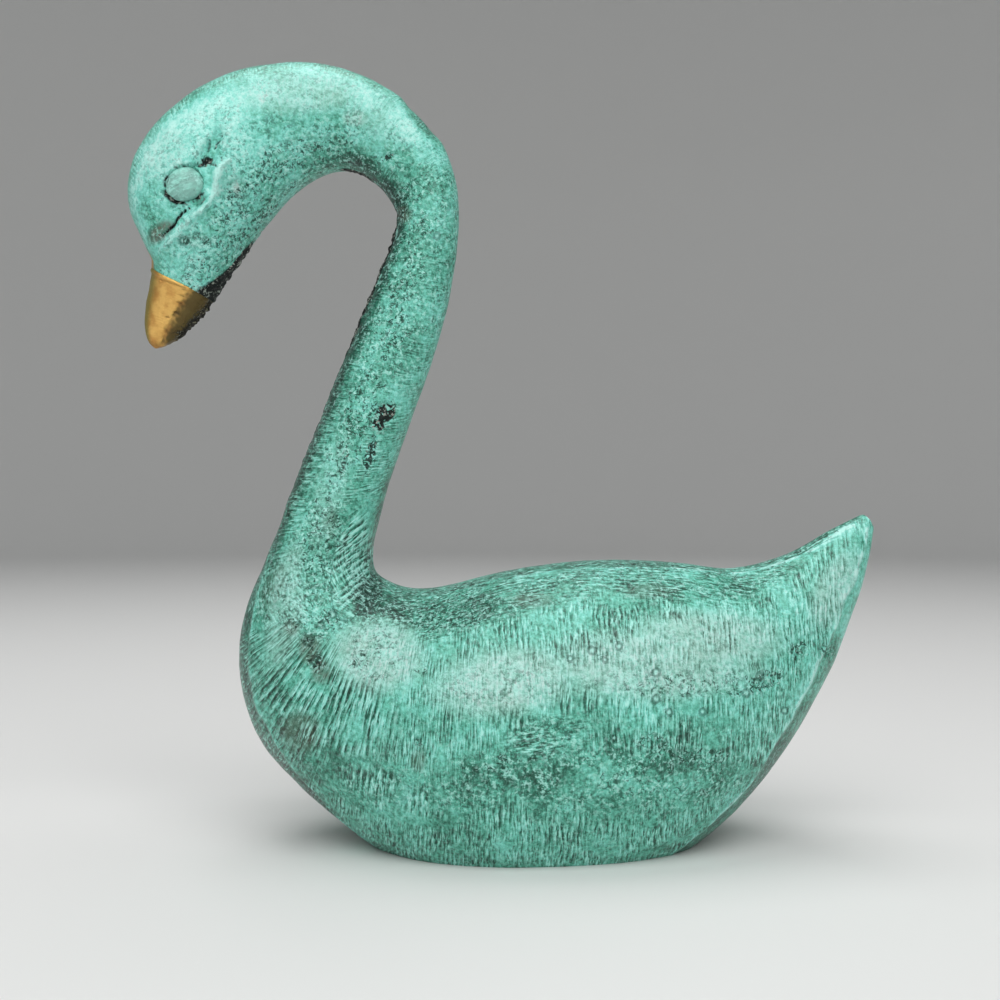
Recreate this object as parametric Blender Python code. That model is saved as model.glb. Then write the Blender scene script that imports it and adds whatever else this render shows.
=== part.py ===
"""Swan figurine in patinated brass: two cast body shells, a solid neck and head, a bare beak and two eyes.

The swan looks along -X, its tail points along +X and it stands on the plane z = 0. Its skin is drawn as
ribs, the way a boat is lofted: each rib runs from the belly line to the back line and has a half width.
Sizes are in millimetres and are turned into metres where a mesh is made.
"""
import math

import bmesh
import bpy
import numpy as np
from mathutils import Matrix, Vector
from mathutils.bvhtree import BVHTree

MM = 0.001

# Overall sizes
LENGTH = 124.8         # forehead to tail tip
HEIGHT = 130.0         # flat rim of the base to the crown of the head
BODY_WIDTH = 46.2      # across the flanks

# Fits and walls
CLEARANCE = 0.3        # gap between pieces that touch
WALL = 3.0             # thickness of the body shells
TAIL_HOLLOW = 2.6      # half width of the hollow where it ends in the tail
SEAT_THICKNESS = 4.0   # land of the shells that the neck stands on

# Joints between the castings
TENON_DIAMETER = 9.0
TENON_TIP = 2.0        # tenon left standing past its braze ring
RING_LEG = 2.0         # leg of the braze fillet round the tenon
BEAD_DIAMETER = 2.4    # braze bead along the seam of the shells
BEAD_LIFT = 0.3        # extra room under the bead, where a rib meets the wall on a slant
PEG_DIAMETER = 3.2
PEG_LENGTH = 5.0
EMBED = 3.0            # how far a tenon or peg reaches into its own casting

# Eyes, each an oval bead that stands proud of its socket
EYE_LENGTH = 6.2
EYE_HEIGHT = 5.4
EYE_THICKNESS = 3.4
EYE_PROUD = 1.1
EYE_TILT = math.radians(20)
EYE_DRAWN = (-50.8, 107.4)   # x and z on the drawn ribs

# Ribs from the tail tip to the beak tip: belly x and z, back x and z, half width
RIBS = np.array([
    (62.1, 52.3, 60.8, 54.1, 0.9),
    (61.4, 47.4, 56.1, 52.1, 2.6),
    (58.2, 37.1, 49.0, 48.1, 5.6),
    (53.7, 26.6, 40.3, 45.4, 9.6),
    (44.6, 12.2, 30.8, 45.9, 15.2),
    (31.5, -0.7, 19.7, 46.7, 20.2),
    (13.9, -7.1, 7.1, 46.1, 23.0),
    (-3.8, -7.7, -3.8, 44.0, 23.0),
    (-18.6, -2.0, -13.0, 42.0, 20.8),
    (-31.0, 6.7, -18.6, 43.2, 17.4),
    (-39.7, 15.8, -20.9, 44.7, 14.6),
    (-43.9, 27.9, -21.6, 46.4, 12.2),
    (-42.9, 38.0, -21.6, 48.7, 10.2),
    (-38.9, 48.2, -20.8, 52.4, 8.6),
    (-34.5, 59.5, -18.7, 60.0, 7.4),
    (-23.1, 87.7, -10.5, 83.8, 6.0),
    (-18.7, 98.8, -7.6, 97.8, 5.5),
    (-18.2, 106.2, -8.3, 112.6, 5.3),
    (-21.9, 110.6, -13.2, 120.8, 6.0),
    (-28.3, 111.9, -25.3, 128.5, 7.6),
    (-35.4, 107.7, -39.4, 129.4, 9.0),
    (-41.4, 100.3, -52.6, 124.0, 9.6),
    (-44.8, 95.8, -60.3, 115.6, 9.2),
    (-47.1, 92.8, -62.2, 105.9, 7.4),
    (-49.0, 90.6, -59.3, 95.5, 4.9),
    (-52.9, 86.2, -59.6, 88.7, 3.0),
    (-55.9, 83.2, -59.4, 84.0, 1.6),
    (-57.6, 82.0, -58.6, 82.4, 0.6),
])
NECK_RIB = 12          # the neck is seated on the body here
BEAK_RIB = 24          # the beak is seated on the head here

# Facets
SIDES = 28             # points round a rib
STATION = 3.2          # spacing of the stations along the ribs
ROUND_SIDES = 24       # facets of a tenon, peg or hole
FILLET_STEPS = 4       # facets of the hollow side of the braze fillet
FINE_PLACES = 2000     # places where the curves are measured
REACH = 400.0          # size of a block that cuts a whole half away


def curve_through(rows, places, wanted):
    """Natural cubic curve through the rows, read at the wanted places."""
    gaps = np.diff(places)
    count = len(places)
    matrix = np.eye(count)
    bends = np.zeros_like(rows)
    for i in range(1, count - 1):
        matrix[i, i - 1:i + 2] = gaps[i - 1], 2 * (gaps[i - 1] + gaps[i]), gaps[i]
        bends[i] = 6 * ((rows[i + 1] - rows[i]) / gaps[i] - (rows[i] - rows[i - 1]) / gaps[i - 1])
    bends = np.linalg.solve(matrix, bends)
    left = np.clip(np.searchsorted(places, wanted, side="right") - 1, 0, count - 2)
    gap = gaps[left][:, None]
    before = (places[left + 1] - wanted)[:, None] / gap
    after = 1.0 - before
    bend = ((before ** 3 - before) * bends[left] + (after ** 3 - after) * bends[left + 1]) * gap ** 2 / 6
    return before * rows[left] + after * rows[left + 1] + bend


def stretch_to_size(ribs, places):
    """Scale the drawn ribs to LENGTH, HEIGHT and BODY_WIDTH, centred over x = 0."""
    fine = curve_through(ribs, places, np.linspace(0.0, places[-1], FINE_PLACES))
    across = fine[:, [0, 2]]
    scale_x = LENGTH / (across.max() - across.min())
    scale_y = BODY_WIDTH / 2 / fine[:, 4].max()
    scale_z = HEIGHT / fine[:, [1, 3]].max()
    middle = (across.max() + across.min()) / 2
    shift = np.array([middle, 0.0, middle, 0.0, 0.0])
    scale = np.array([scale_x, scale_z, scale_x, scale_z, scale_y])
    return shift, scale


STEPS = np.linalg.norm(np.diff(RIBS[:, :4], axis=0), axis=1)
PLACES = np.concatenate([[0.0], np.cumsum(STEPS)])
SHIFT, SCALE = stretch_to_size(RIBS, PLACES)


def ribs_at(places):
    """Ribs at places along the swan, at the size of the finished figure."""
    return (curve_through(RIBS, PLACES, np.atleast_1d(places)) - SHIFT) * SCALE


def stations(first, last):
    """Places from first to last, about STATION apart."""
    count = max(2, round((last - first) / STATION) + 1)
    return np.linspace(first, last, count)


class Seat:
    """The flat seat at one rib: its middle, its half width and its normal towards the beak."""

    def __init__(self, rib_index):
        belly_x, belly_z, back_x, back_z, self.half_width = ribs_at(PLACES[rib_index])[0]
        belly = Vector((belly_x, 0.0, belly_z))
        back = Vector((back_x, 0.0, back_z))
        self.middle = (belly + back) / 2
        self.normal = (back - belly).normalized().cross(Vector((0.0, 1.0, 0.0)))
        self.place = PLACES[rib_index]

    def height(self, point):
        """How far a point stands above the seat."""
        return (point - self.middle).dot(self.normal)

    def reach(self, point):
        """How far a point lies from the line through the seat's middle along its normal."""
        return (point - self.middle).cross(self.normal).length


NECK_SEAT = Seat(NECK_RIB)
BEAK_SEAT = Seat(BEAK_RIB)


def rib_ring(rib, inset=0.0):
    """Points round one oval rib, from the back line down the right flank and up the left."""
    belly = np.array([rib[0], 0.0, rib[1]])
    back = np.array([rib[2], 0.0, rib[3]])
    middle = (belly + back) / 2
    depth = (back - belly) / 2
    depth = depth * (1.0 - inset / np.linalg.norm(depth))
    width = rib[4] - inset
    turn = np.linspace(0.0, 2 * math.pi, SIDES, endpoint=False)[:, None]
    return middle + depth * np.cos(turn) + np.array([0.0, width, 0.0]) * np.sin(turn)


def inner_line(places, side, inset):
    """Points on the mid-plane, inset from the belly line or the back line."""
    points = []
    for rib in ribs_at(places):
        belly = Vector((rib[0], 0.0, rib[1]))
        back = Vector((rib[2], 0.0, rib[3]))
        inward = (back - belly).normalized() * inset
        points.append(belly + inward if side == "belly" else back - inward)
    return points


def collection(name):
    made = bpy.data.collections.new(name)
    bpy.context.scene.collection.children.link(made)
    return made


def finish_material(name, colour, metallic, roughness):
    material = bpy.data.materials.new(name)
    material.use_nodes = True
    shader = material.node_tree.nodes["Principled BSDF"]
    shader.inputs["Base Color"].default_value = (*colour, 1.0)
    shader.inputs["Metallic"].default_value = metallic
    shader.inputs["Roughness"].default_value = roughness
    return material


def place_mesh(name, bm, home, material=None):
    """Turn a bmesh drawn in millimetres into an object in metres."""
    bmesh.ops.recalc_face_normals(bm, faces=bm.faces)
    bmesh.ops.scale(bm, vec=(MM, MM, MM), verts=bm.verts)
    mesh = bpy.data.meshes.new(name)
    bm.to_mesh(mesh)
    bm.free()
    mesh.shade_smooth()
    mesh.set_sharp_from_angle(angle=math.radians(40))
    made = bpy.data.objects.new(name, mesh)
    home.objects.link(made)
    if material:
        mesh.materials.append(material)
    else:
        made.hide_render = True
        made.display_type = "WIRE"
    return made


def loft(rings):
    """Closed bmesh over rings of equally many points, capped at both ends."""
    bm = bmesh.new()
    rows = [[bm.verts.new(point) for point in ring] for ring in rings]
    for lower, upper in zip(rows, rows[1:]):
        for k in range(SIDES):
            j = (k + 1) % SIDES
            bm.faces.new((lower[k], lower[j], upper[j], upper[k]))
    bm.faces.new(rows[0])
    bm.faces.new(rows[-1])
    return bm


def cylinder(radius, low, high):
    """Closed cylinder along Z from low to high."""
    bm = bmesh.new()
    bmesh.ops.create_cone(bm, cap_ends=True, segments=ROUND_SIDES, radius1=radius, radius2=radius,
                          depth=high - low, matrix=Matrix.Translation((0, 0, (low + high) / 2)))
    return bm


def block(low_corner, high_corner):
    """Box between two corners."""
    bm = bmesh.new()
    low = Vector(low_corner)
    high = Vector(high_corner)
    bmesh.ops.create_cube(bm, size=1.0)
    bmesh.ops.scale(bm, vec=high - low, verts=bm.verts)
    bmesh.ops.translate(bm, vec=(low + high) / 2, verts=bm.verts)
    return bm


def boolean(target, operation, other):
    step = target.modifiers.new(f"{operation.lower()} {other.name}", "BOOLEAN")
    step.operation = operation
    step.solver = "EXACT"
    step.object = other


def seat_empty(name, seat, home):
    """Empty at a seat, its Z axis along the seat's normal."""
    empty = bpy.data.objects.new(name, None)
    home.objects.link(empty)
    across = Vector((0.0, 1.0, 0.0))
    turn = Matrix((across.cross(seat.normal), across, seat.normal)).transposed()
    empty.matrix_world = Matrix.Translation(seat.middle * MM) @ turn.to_4x4()
    return empty


def shift_ring(ring, seat, distance):
    return ring + np.array(seat.normal) * distance


def body_skin():
    """Outer skin of the body, from the tail tip to the neck seat."""
    rings = [rib_ring(rib) for rib in ribs_at(stations(0.0, NECK_SEAT.place))]
    rings[-1] = shift_ring(rings[-1], NECK_SEAT, -CLEARANCE / 2)
    return loft(rings)


def hollow_start():
    """Place in the tail where the hollow of the shells begins."""
    places = np.linspace(0.0, NECK_SEAT.place, FINE_PLACES)
    wide_enough = ribs_at(places)[:, 4] >= WALL + TAIL_HOLLOW
    return places[np.argmax(wide_enough)]


def body_hollow():
    """Hollow of the body, closed off below the neck by the seat."""
    past_seat = PLACES[NECK_RIB + 1]
    rings = [rib_ring(rib, WALL) for rib in ribs_at(stations(hollow_start(), past_seat))]
    bm = loft(rings)
    under_seat = NECK_SEAT.middle - NECK_SEAT.normal * (CLEARANCE / 2 + SEAT_THICKNESS)
    cut = bmesh.ops.bisect_plane(bm, geom=bm.verts[:] + bm.edges[:] + bm.faces[:], plane_co=under_seat,
                                 plane_no=NECK_SEAT.normal, clear_outer=True)
    rim = [item for item in cut["geom_cut"] if isinstance(item, bmesh.types.BMEdge)]
    bmesh.ops.edgeloop_fill(bm, edges=rim)
    return bm


def neck_skin():
    """Neck and head from the neck seat to the beak seat."""
    rings = [rib_ring(rib) for rib in ribs_at(stations(NECK_SEAT.place, BEAK_SEAT.place))]
    rings[0] = shift_ring(rings[0], NECK_SEAT, CLEARANCE / 2)
    rings[-1] = shift_ring(rings[-1], BEAK_SEAT, -CLEARANCE / 2)
    return loft(rings)


def beak_skin():
    """Beak from its seat to the tip."""
    rings = [rib_ring(rib) for rib in ribs_at(stations(BEAK_SEAT.place, PLACES[-1]))]
    rings[0] = shift_ring(rings[0], BEAK_SEAT, CLEARANCE / 2)
    return loft(rings)


RING_INNER = TENON_DIAMETER / 2 + CLEARANCE
RING_TOP = -CLEARANCE / 2 - SEAT_THICKNESS - CLEARANCE


def ring_leg():
    """Leg of the braze fillet, limited by the wall of the hollow beside it."""
    places = np.linspace(hollow_start(), PLACES[NECK_RIB + 1], FINE_PLACES)
    wall = inner_line(places, "belly", WALL) + inner_line(places, "back", WALL)
    beside = [point for point in wall if RING_TOP - RING_LEG <= NECK_SEAT.height(point) <= RING_TOP]
    room = min([NECK_SEAT.reach(point) for point in beside] + [NECK_SEAT.half_width - WALL])
    return min(RING_LEG, room - CLEARANCE - RING_INNER)


def ring_profile():
    """Cut through the braze fillet: square on the seat and the tenon, hollow between its two toes."""
    leg = ring_leg()
    points = [(RING_INNER, RING_TOP)]
    for i in range(FILLET_STEPS + 1):
        turn = math.pi / 2 * i / FILLET_STEPS
        points.append((RING_INNER + leg * (1 - math.sin(turn)), RING_TOP - leg * (1 - math.cos(turn))))
    return points


def braze_ring(name, home, material, parent):
    bm = bmesh.new()
    corners = [bm.verts.new((radius, 0.0, height)) for radius, height in ring_profile()]
    for i, corner in enumerate(corners):
        bm.edges.new((corner, corners[(i + 1) % len(corners)]))
    bmesh.ops.spin(bm, geom=bm.verts[:] + bm.edges[:], cent=(0, 0, 0), axis=(0, 0, 1), dvec=(0, 0, 0),
                   angle=2 * math.pi, steps=ROUND_SIDES, use_merge=True, use_duplicate=False)
    made = place_mesh(name, bm, home, material)
    made.parent = parent
    return made


def seam_bead(name, points, home, material):
    """Round bead along points on the mid-plane."""
    curve = bpy.data.curves.new(name, "CURVE")
    curve.dimensions = "3D"
    curve.bevel_depth = BEAD_DIAMETER / 2 * MM
    curve.bevel_resolution = 1
    curve.use_fill_caps = True
    spline = curve.splines.new("POLY")
    spline.points.add(len(points) - 1)
    for place, point in zip(spline.points, points):
        place.co = (*(point * MM), 1.0)
    curve.materials.append(material)
    made = bpy.data.objects.new(name, curve)
    home.objects.link(made)
    return made


def bead_routes():
    """Routes of the two beads: up the tail and along the back, and up the breast."""
    inset = WALL + CLEARANCE + BEAD_DIAMETER / 2 + BEAD_LIFT
    tail_end = hollow_start() + 2 * BEAD_DIAMETER
    places = stations(tail_end, NECK_SEAT.place)
    middle = len(places) // 2
    belly = inner_line(places, "belly", inset)
    back = inner_line(places, "back", inset)
    floor = BEAD_DIAMETER
    ceiling = RING_TOP - RING_LEG - CLEARANCE - BEAD_DIAMETER / 2
    tail = [point for point in belly[:middle] if point.z > floor]
    roof = [point for point in back if NECK_SEAT.height(point) < ceiling]
    breast = [point for point in belly[middle:] if point.z > floor and NECK_SEAT.height(point) < ceiling]
    return tail[::-1] + roof, breast


def eye_frame(skin, side):
    """Place and turn of one eye on the head: its Z axis is the skin's normal, its X axis the long way."""
    x = (EYE_DRAWN[0] - SHIFT[0]) * SCALE[0]
    z = EYE_DRAWN[1] * SCALE[1]
    start = Vector((x, side * BODY_WIDTH, z)) * MM
    spot, normal, _, _ = skin.ray_cast(start, Vector((0.0, -side, 0.0)))
    long_way = Vector((math.cos(EYE_TILT), 0.0, math.sin(EYE_TILT)))
    long_way = (long_way - normal * long_way.dot(normal)).normalized()
    turn = Matrix((long_way, normal.cross(long_way), normal)).transposed()
    sunk = spot - normal * (EYE_THICKNESS / 2 - EYE_PROUD) * MM
    return Matrix.Translation(sunk) @ turn.to_4x4()


def eye_bead(name, frame, grow, home, material=None):
    """Oval bead, or its socket when it is grown by a clearance."""
    bm = bmesh.new()
    bmesh.ops.create_uvsphere(bm, u_segments=20, v_segments=10, radius=1.0)
    size = Vector((EYE_LENGTH, EYE_HEIGHT, EYE_THICKNESS)) / 2 + Vector((grow, grow, grow))
    bmesh.ops.scale(bm, vec=size, verts=bm.verts)
    made = place_mesh(name, bm, home, material)
    made.matrix_world = frame
    return made


def build():
    for old in list(bpy.data.objects):
        bpy.data.objects.remove(old, do_unlink=True)
    swan = collection("swan_figurine")
    cutters = collection("swan_cutters")
    patina = finish_material("verdigris_patina", (0.13, 0.42, 0.34), 0.2, 0.45)
    bare_brass = finish_material("bare_brass", (0.62, 0.40, 0.15), 1.0, 0.35)
    braze = finish_material("braze_filler", (0.45, 0.33, 0.14), 1.0, 0.55)

    neck_empty = seat_empty("neck_seat", NECK_SEAT, swan)
    beak_empty = seat_empty("beak_seat", BEAK_SEAT, swan)

    # Body shells: hollow, cut flat for the rim, split on the mid-plane, with a hole for the tenon
    tenon_end = RING_LEG + TENON_TIP - RING_TOP
    hollow = place_mesh("body_hollow", body_hollow(), cutters)
    under = place_mesh("below_rim", block((-REACH, -REACH, -REACH), (REACH, REACH, 0.0)), cutters)
    hole = place_mesh("tenon_hole", cylinder(TENON_DIAMETER / 2 + CLEARANCE, -tenon_end, EMBED), cutters)
    hole.parent = neck_empty
    for name, side in (("body_left_shell", -1), ("body_right_shell", 1)):
        shell = place_mesh(name, body_skin(), swan, patina)
        seam = side * CLEARANCE / 2
        low_y, high_y = sorted((seam, -side * REACH))
        other_half = place_mesh(f"{name}_cut", block((-REACH, low_y, -REACH), (REACH, high_y, REACH)), cutters)
        for cutter in (hollow, under, hole, other_half):
            boolean(shell, "DIFFERENCE", cutter)

    # Neck and head: one solid with its tenon below and sockets for the beak's peg and the eyes
    neck = place_mesh("neck_and_head", neck_skin(), swan, patina)
    skin = BVHTree.FromPolygons([v.co for v in neck.data.vertices], [p.vertices for p in neck.data.polygons])
    tenon = place_mesh("neck_tenon", cylinder(TENON_DIAMETER / 2, -tenon_end, EMBED), cutters)
    tenon.parent = neck_empty
    boolean(neck, "UNION", tenon)
    socket = cylinder(PEG_DIAMETER / 2 + CLEARANCE, -PEG_LENGTH - CLEARANCE, EMBED)
    peg_hole = place_mesh("peg_hole", socket, cutters)
    peg_hole.parent = beak_empty
    boolean(neck, "DIFFERENCE", peg_hole)
    braze_ring("neck_braze_ring", swan, braze, neck_empty)

    # Beak with its peg
    beak = place_mesh("beak", beak_skin(), swan, bare_brass)
    peg = place_mesh("beak_peg", cylinder(PEG_DIAMETER / 2, -PEG_LENGTH, EMBED), cutters)
    peg.parent = beak_empty
    boolean(beak, "UNION", peg)

    # Eyes in their sockets
    for name, side in (("left_eye", -1), ("right_eye", 1)):
        frame = eye_frame(skin, side)
        eye_bead(name, frame, 0.0, swan, patina)
        eye_socket = eye_bead(f"{name}_socket", frame, CLEARANCE, cutters)
        boolean(neck, "DIFFERENCE", eye_socket)

    # Braze beads inside the seam
    rear, breast = bead_routes()
    seam_bead("rear_seam_braze", rear, swan, braze)
    seam_bead("breast_seam_braze", breast, swan, braze)


build()
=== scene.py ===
# %% [markdown]
# # A swan in green brass
# This lesson dresses a small swan figurine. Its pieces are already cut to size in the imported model, so
# nothing here changes where they stand. What this script adds is the surface: a skin fine enough to hold
# file strokes and casting pits, the carved face, and the paint-like green that brass grows with age.

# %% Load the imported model
import math
from types import SimpleNamespace

import bmesh
import bpy
import numpy as np
from mathutils import Matrix, Vector, noise


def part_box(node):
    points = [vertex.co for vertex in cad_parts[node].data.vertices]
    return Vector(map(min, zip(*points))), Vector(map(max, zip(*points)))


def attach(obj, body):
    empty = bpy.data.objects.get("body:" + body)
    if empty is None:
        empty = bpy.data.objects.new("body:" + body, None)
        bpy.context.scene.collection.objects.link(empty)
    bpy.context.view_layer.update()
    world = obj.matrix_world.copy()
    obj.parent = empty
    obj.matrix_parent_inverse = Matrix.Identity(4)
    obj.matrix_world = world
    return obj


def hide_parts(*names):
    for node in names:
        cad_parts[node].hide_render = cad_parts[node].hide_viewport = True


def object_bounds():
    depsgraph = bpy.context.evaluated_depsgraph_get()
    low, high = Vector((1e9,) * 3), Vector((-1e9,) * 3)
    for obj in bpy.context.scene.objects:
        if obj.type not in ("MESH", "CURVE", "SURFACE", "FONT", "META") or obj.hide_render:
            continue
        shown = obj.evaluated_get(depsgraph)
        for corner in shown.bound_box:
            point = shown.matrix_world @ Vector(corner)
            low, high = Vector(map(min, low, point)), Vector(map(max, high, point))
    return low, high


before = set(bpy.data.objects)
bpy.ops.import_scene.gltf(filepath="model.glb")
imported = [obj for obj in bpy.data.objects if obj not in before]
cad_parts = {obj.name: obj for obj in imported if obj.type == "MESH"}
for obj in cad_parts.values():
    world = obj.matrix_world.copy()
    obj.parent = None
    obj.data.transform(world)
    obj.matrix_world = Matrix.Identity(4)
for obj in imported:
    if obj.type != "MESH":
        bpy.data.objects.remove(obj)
cad_low, cad_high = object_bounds()
MM = 0.001
print("pieces in the frame:", sorted(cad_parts))

# %% [markdown]
# ## The camera
# The swan was photographed square from its left side, from close by, so the head leans away a little at
# the edge of the view. A lens is easiest to set from two sizes: how far away the swan's middle stands, and
# how many pixels of the square picture cover one millimetre there.

# %% Camera
PICTURE = 1000                 # pixels across the square picture
PIXELS_PER_MM = 5.95           # at the swan's mid-plane
CAMERA_DISTANCE = 206.0        # millimetres from the mid-plane
BASE_ROW = 838.0               # picture row of the surface that the swan stands on
MIDDLE_COLUMN = 501.0          # picture column of the middle of the swan's box

eye_x = (PICTURE / 2 - MIDDLE_COLUMN) / PIXELS_PER_MM
eye_z = (BASE_ROW - PICTURE / 2) / PIXELS_PER_MM
camera_data = bpy.data.cameras.new("camera")
camera_data.sensor_width = 36.0
camera_data.lens = camera_data.sensor_width * PIXELS_PER_MM * CAMERA_DISTANCE / PICTURE
camera_data.clip_start = 0.01
camera = bpy.data.objects.new("camera", camera_data)
camera.location = Vector((eye_x, -CAMERA_DISTANCE, eye_z)) * MM
camera.rotation_euler = (math.pi / 2, 0.0, 0.0)
bpy.context.scene.collection.objects.link(camera)
bpy.context.scene.camera = camera
print("lens", round(camera_data.lens, 1), "mm, eye height", round(eye_z, 1), "mm")


def seen_at(points):
    """Picture column and row of points in millimetres, the far flank mirrored to the near one."""
    depth = CAMERA_DISTANCE - np.abs(points[:, 1])
    scale = PIXELS_PER_MM * CAMERA_DISTANCE / depth
    column = PICTURE / 2 + (points[:, 0] - eye_x) * scale
    row = PICTURE / 2 - (points[:, 2] - eye_z) * scale
    return np.column_stack([column, row])


# %% [markdown]
# ## The studio
# A pale floor that curves up into a wall has no corner to distract the eye. It is a profile turned once
# round, so it looks the same from every side. Two large soft lamps stand in for studio boxes: one ahead and
# above, which draws the long pale band along the flank, and one overhead for the crown and the back.

# %% Floor and light
PAPER = (0.78, 0.78, 0.77, 1.0)
AIR = (0.95, 0.98, 1.0, 1.0)
AIR_STRENGTH = 0.20
LAMP_TARGET = (0.0, 0.0, 0.05)
LAMPS = (                      # name, place, width and height in metres, power in watts
    ("front_box", (0.03, -0.55, 0.68), 1.1, 0.70, 6.5),
    ("top_box", (-0.08, 0.14, 0.80), 0.5, 0.5, 2.2),
)


def new_object(name, bm):
    """Object at the origin from a bmesh that is already in metres."""
    mesh = bpy.data.meshes.new(name)
    bm.to_mesh(mesh)
    bm.free()
    made = bpy.data.objects.new(name, mesh)
    bpy.context.scene.collection.objects.link(made)
    return made


def studio_floor(flat_radius=1.1, bend=0.5, wall_top=1.3, bend_steps=12, turn_steps=96):
    """Floor that bends up into a round wall, with its sizes in metres."""
    bm = bmesh.new()
    profile = [(0.0, 0.0), (flat_radius, 0.0)]
    for i in range(1, bend_steps + 1):
        turn = math.pi / 2 * i / bend_steps
        profile.append((flat_radius + bend * math.sin(turn), bend * (1 - math.cos(turn))))
    profile.append((flat_radius + bend, wall_top))
    corners = [bm.verts.new((radius, 0.0, height)) for radius, height in profile]
    for first, second in zip(corners, corners[1:]):
        bm.edges.new((first, second))
    bmesh.ops.spin(bm, geom=bm.verts[:] + bm.edges[:], cent=(0, 0, 0), axis=(0, 0, 1), dvec=(0, 0, 0),
                   angle=2 * math.pi, steps=turn_steps, use_merge=True, use_duplicate=False)
    bmesh.ops.remove_doubles(bm, verts=bm.verts, dist=1e-6)
    bmesh.ops.recalc_face_normals(bm, faces=bm.faces)
    floor = new_object("floor", bm)
    floor.data.shade_smooth()
    paper = bpy.data.materials.new("studio_paper")
    paper.use_nodes = True
    paper.node_tree.nodes["Principled BSDF"].inputs["Base Color"].default_value = PAPER
    paper.node_tree.nodes["Principled BSDF"].inputs["Roughness"].default_value = 0.9
    floor.data.materials.append(paper)


def soft_lamp(name, place, width, height, power):
    """Large lamp turned to the figure, unseen by the camera."""
    data = bpy.data.lights.new(name, "AREA")
    data.shape = "RECTANGLE"
    data.size = width
    data.size_y = height
    data.energy = power
    lamp = bpy.data.objects.new(name, data)
    lamp.location = place
    lamp.rotation_euler = (Vector(LAMP_TARGET) - Vector(place)).to_track_quat("-Z", "Y").to_euler()
    lamp.visible_camera = False
    bpy.context.scene.collection.objects.link(lamp)


studio_floor()
for lamp_row in LAMPS:
    soft_lamp(*lamp_row)
world = bpy.data.worlds.new("studio_air")
world.use_nodes = True
world.node_tree.nodes["Background"].inputs["Color"].default_value = AIR
world.node_tree.nodes["Background"].inputs["Strength"].default_value = AIR_STRENGTH
bpy.context.scene.world = world
bpy.context.scene.view_settings.view_transform = "Standard"
print("floor and", len(LAMPS), "lamps ready")

# %% [markdown]
# ## The ribs of the swan
# The construction draws the swan like a boat: each rib runs from the belly line to the back line and has a
# half width. The same ribs are read here, much closer together, and stretched to the box of the packed
# model, so that the fine skin lies where the plain castings are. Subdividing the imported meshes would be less
# work, but their triangles are too uneven to carry fine marks.

# %% Ribs
RIBS = np.array([                  # belly x and z, back x and z, half width, from tail tip to beak tip
    (62.1, 52.3, 60.8, 54.1, 0.9),
    (61.4, 47.4, 56.1, 52.1, 2.6),
    (58.2, 37.1, 49.0, 48.1, 5.6),
    (53.7, 26.6, 40.3, 45.4, 9.6),
    (44.6, 12.2, 30.8, 45.9, 15.2),
    (31.5, -0.7, 19.7, 46.7, 20.2),
    (13.9, -7.1, 7.1, 46.1, 23.0),
    (-3.8, -7.7, -3.8, 44.0, 23.0),
    (-18.6, -2.0, -13.0, 42.0, 20.8),
    (-31.0, 6.7, -18.6, 43.2, 17.4),
    (-39.7, 15.8, -20.9, 44.7, 14.6),
    (-43.9, 27.9, -21.6, 46.4, 12.2),
    (-42.9, 38.0, -21.6, 48.7, 10.2),
    (-38.9, 48.2, -20.8, 52.4, 8.6),
    (-34.5, 59.5, -18.7, 60.0, 7.4),
    (-23.1, 87.7, -10.5, 83.8, 6.0),
    (-18.7, 98.8, -7.6, 97.8, 5.5),
    (-18.2, 106.2, -8.3, 112.6, 5.3),
    (-21.9, 110.6, -13.2, 120.8, 6.0),
    (-28.3, 111.9, -25.3, 128.5, 7.6),
    (-35.4, 107.7, -39.4, 129.4, 9.0),
    (-41.4, 100.3, -52.6, 124.0, 9.6),
    (-44.8, 95.8, -60.3, 115.6, 9.2),
    (-47.1, 92.8, -62.2, 105.9, 7.4),
    (-49.0, 90.6, -59.3, 95.5, 4.9),
    (-52.9, 86.2, -59.6, 88.7, 3.0),
    (-55.9, 83.2, -59.4, 84.0, 1.6),
    (-57.6, 82.0, -58.6, 82.4, 0.6),
])
NECK_RIB = 12                      # the neck is seated on the body here
BEAK_RIB = 24                      # the beak is seated on the head here


def curve_through(rows, places, wanted):
    """Natural cubic curve through the rows, read at the wanted places."""
    gaps = np.diff(places)
    count = len(places)
    matrix = np.eye(count)
    bends = np.zeros_like(rows)
    for i in range(1, count - 1):
        matrix[i, i - 1:i + 2] = gaps[i - 1], 2 * (gaps[i - 1] + gaps[i]), gaps[i]
        bends[i] = 6 * ((rows[i + 1] - rows[i]) / gaps[i] - (rows[i] - rows[i - 1]) / gaps[i - 1])
    bends = np.linalg.solve(matrix, bends)
    left = np.clip(np.searchsorted(places, wanted, side="right") - 1, 0, count - 2)
    gap = gaps[left][:, None]
    before = (places[left + 1] - wanted)[:, None] / gap
    after = 1.0 - before
    bend = ((before ** 3 - before) * bends[left] + (after ** 3 - after) * bends[left + 1]) * gap ** 2 / 6
    return before * rows[left] + after * rows[left + 1] + bend


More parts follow.
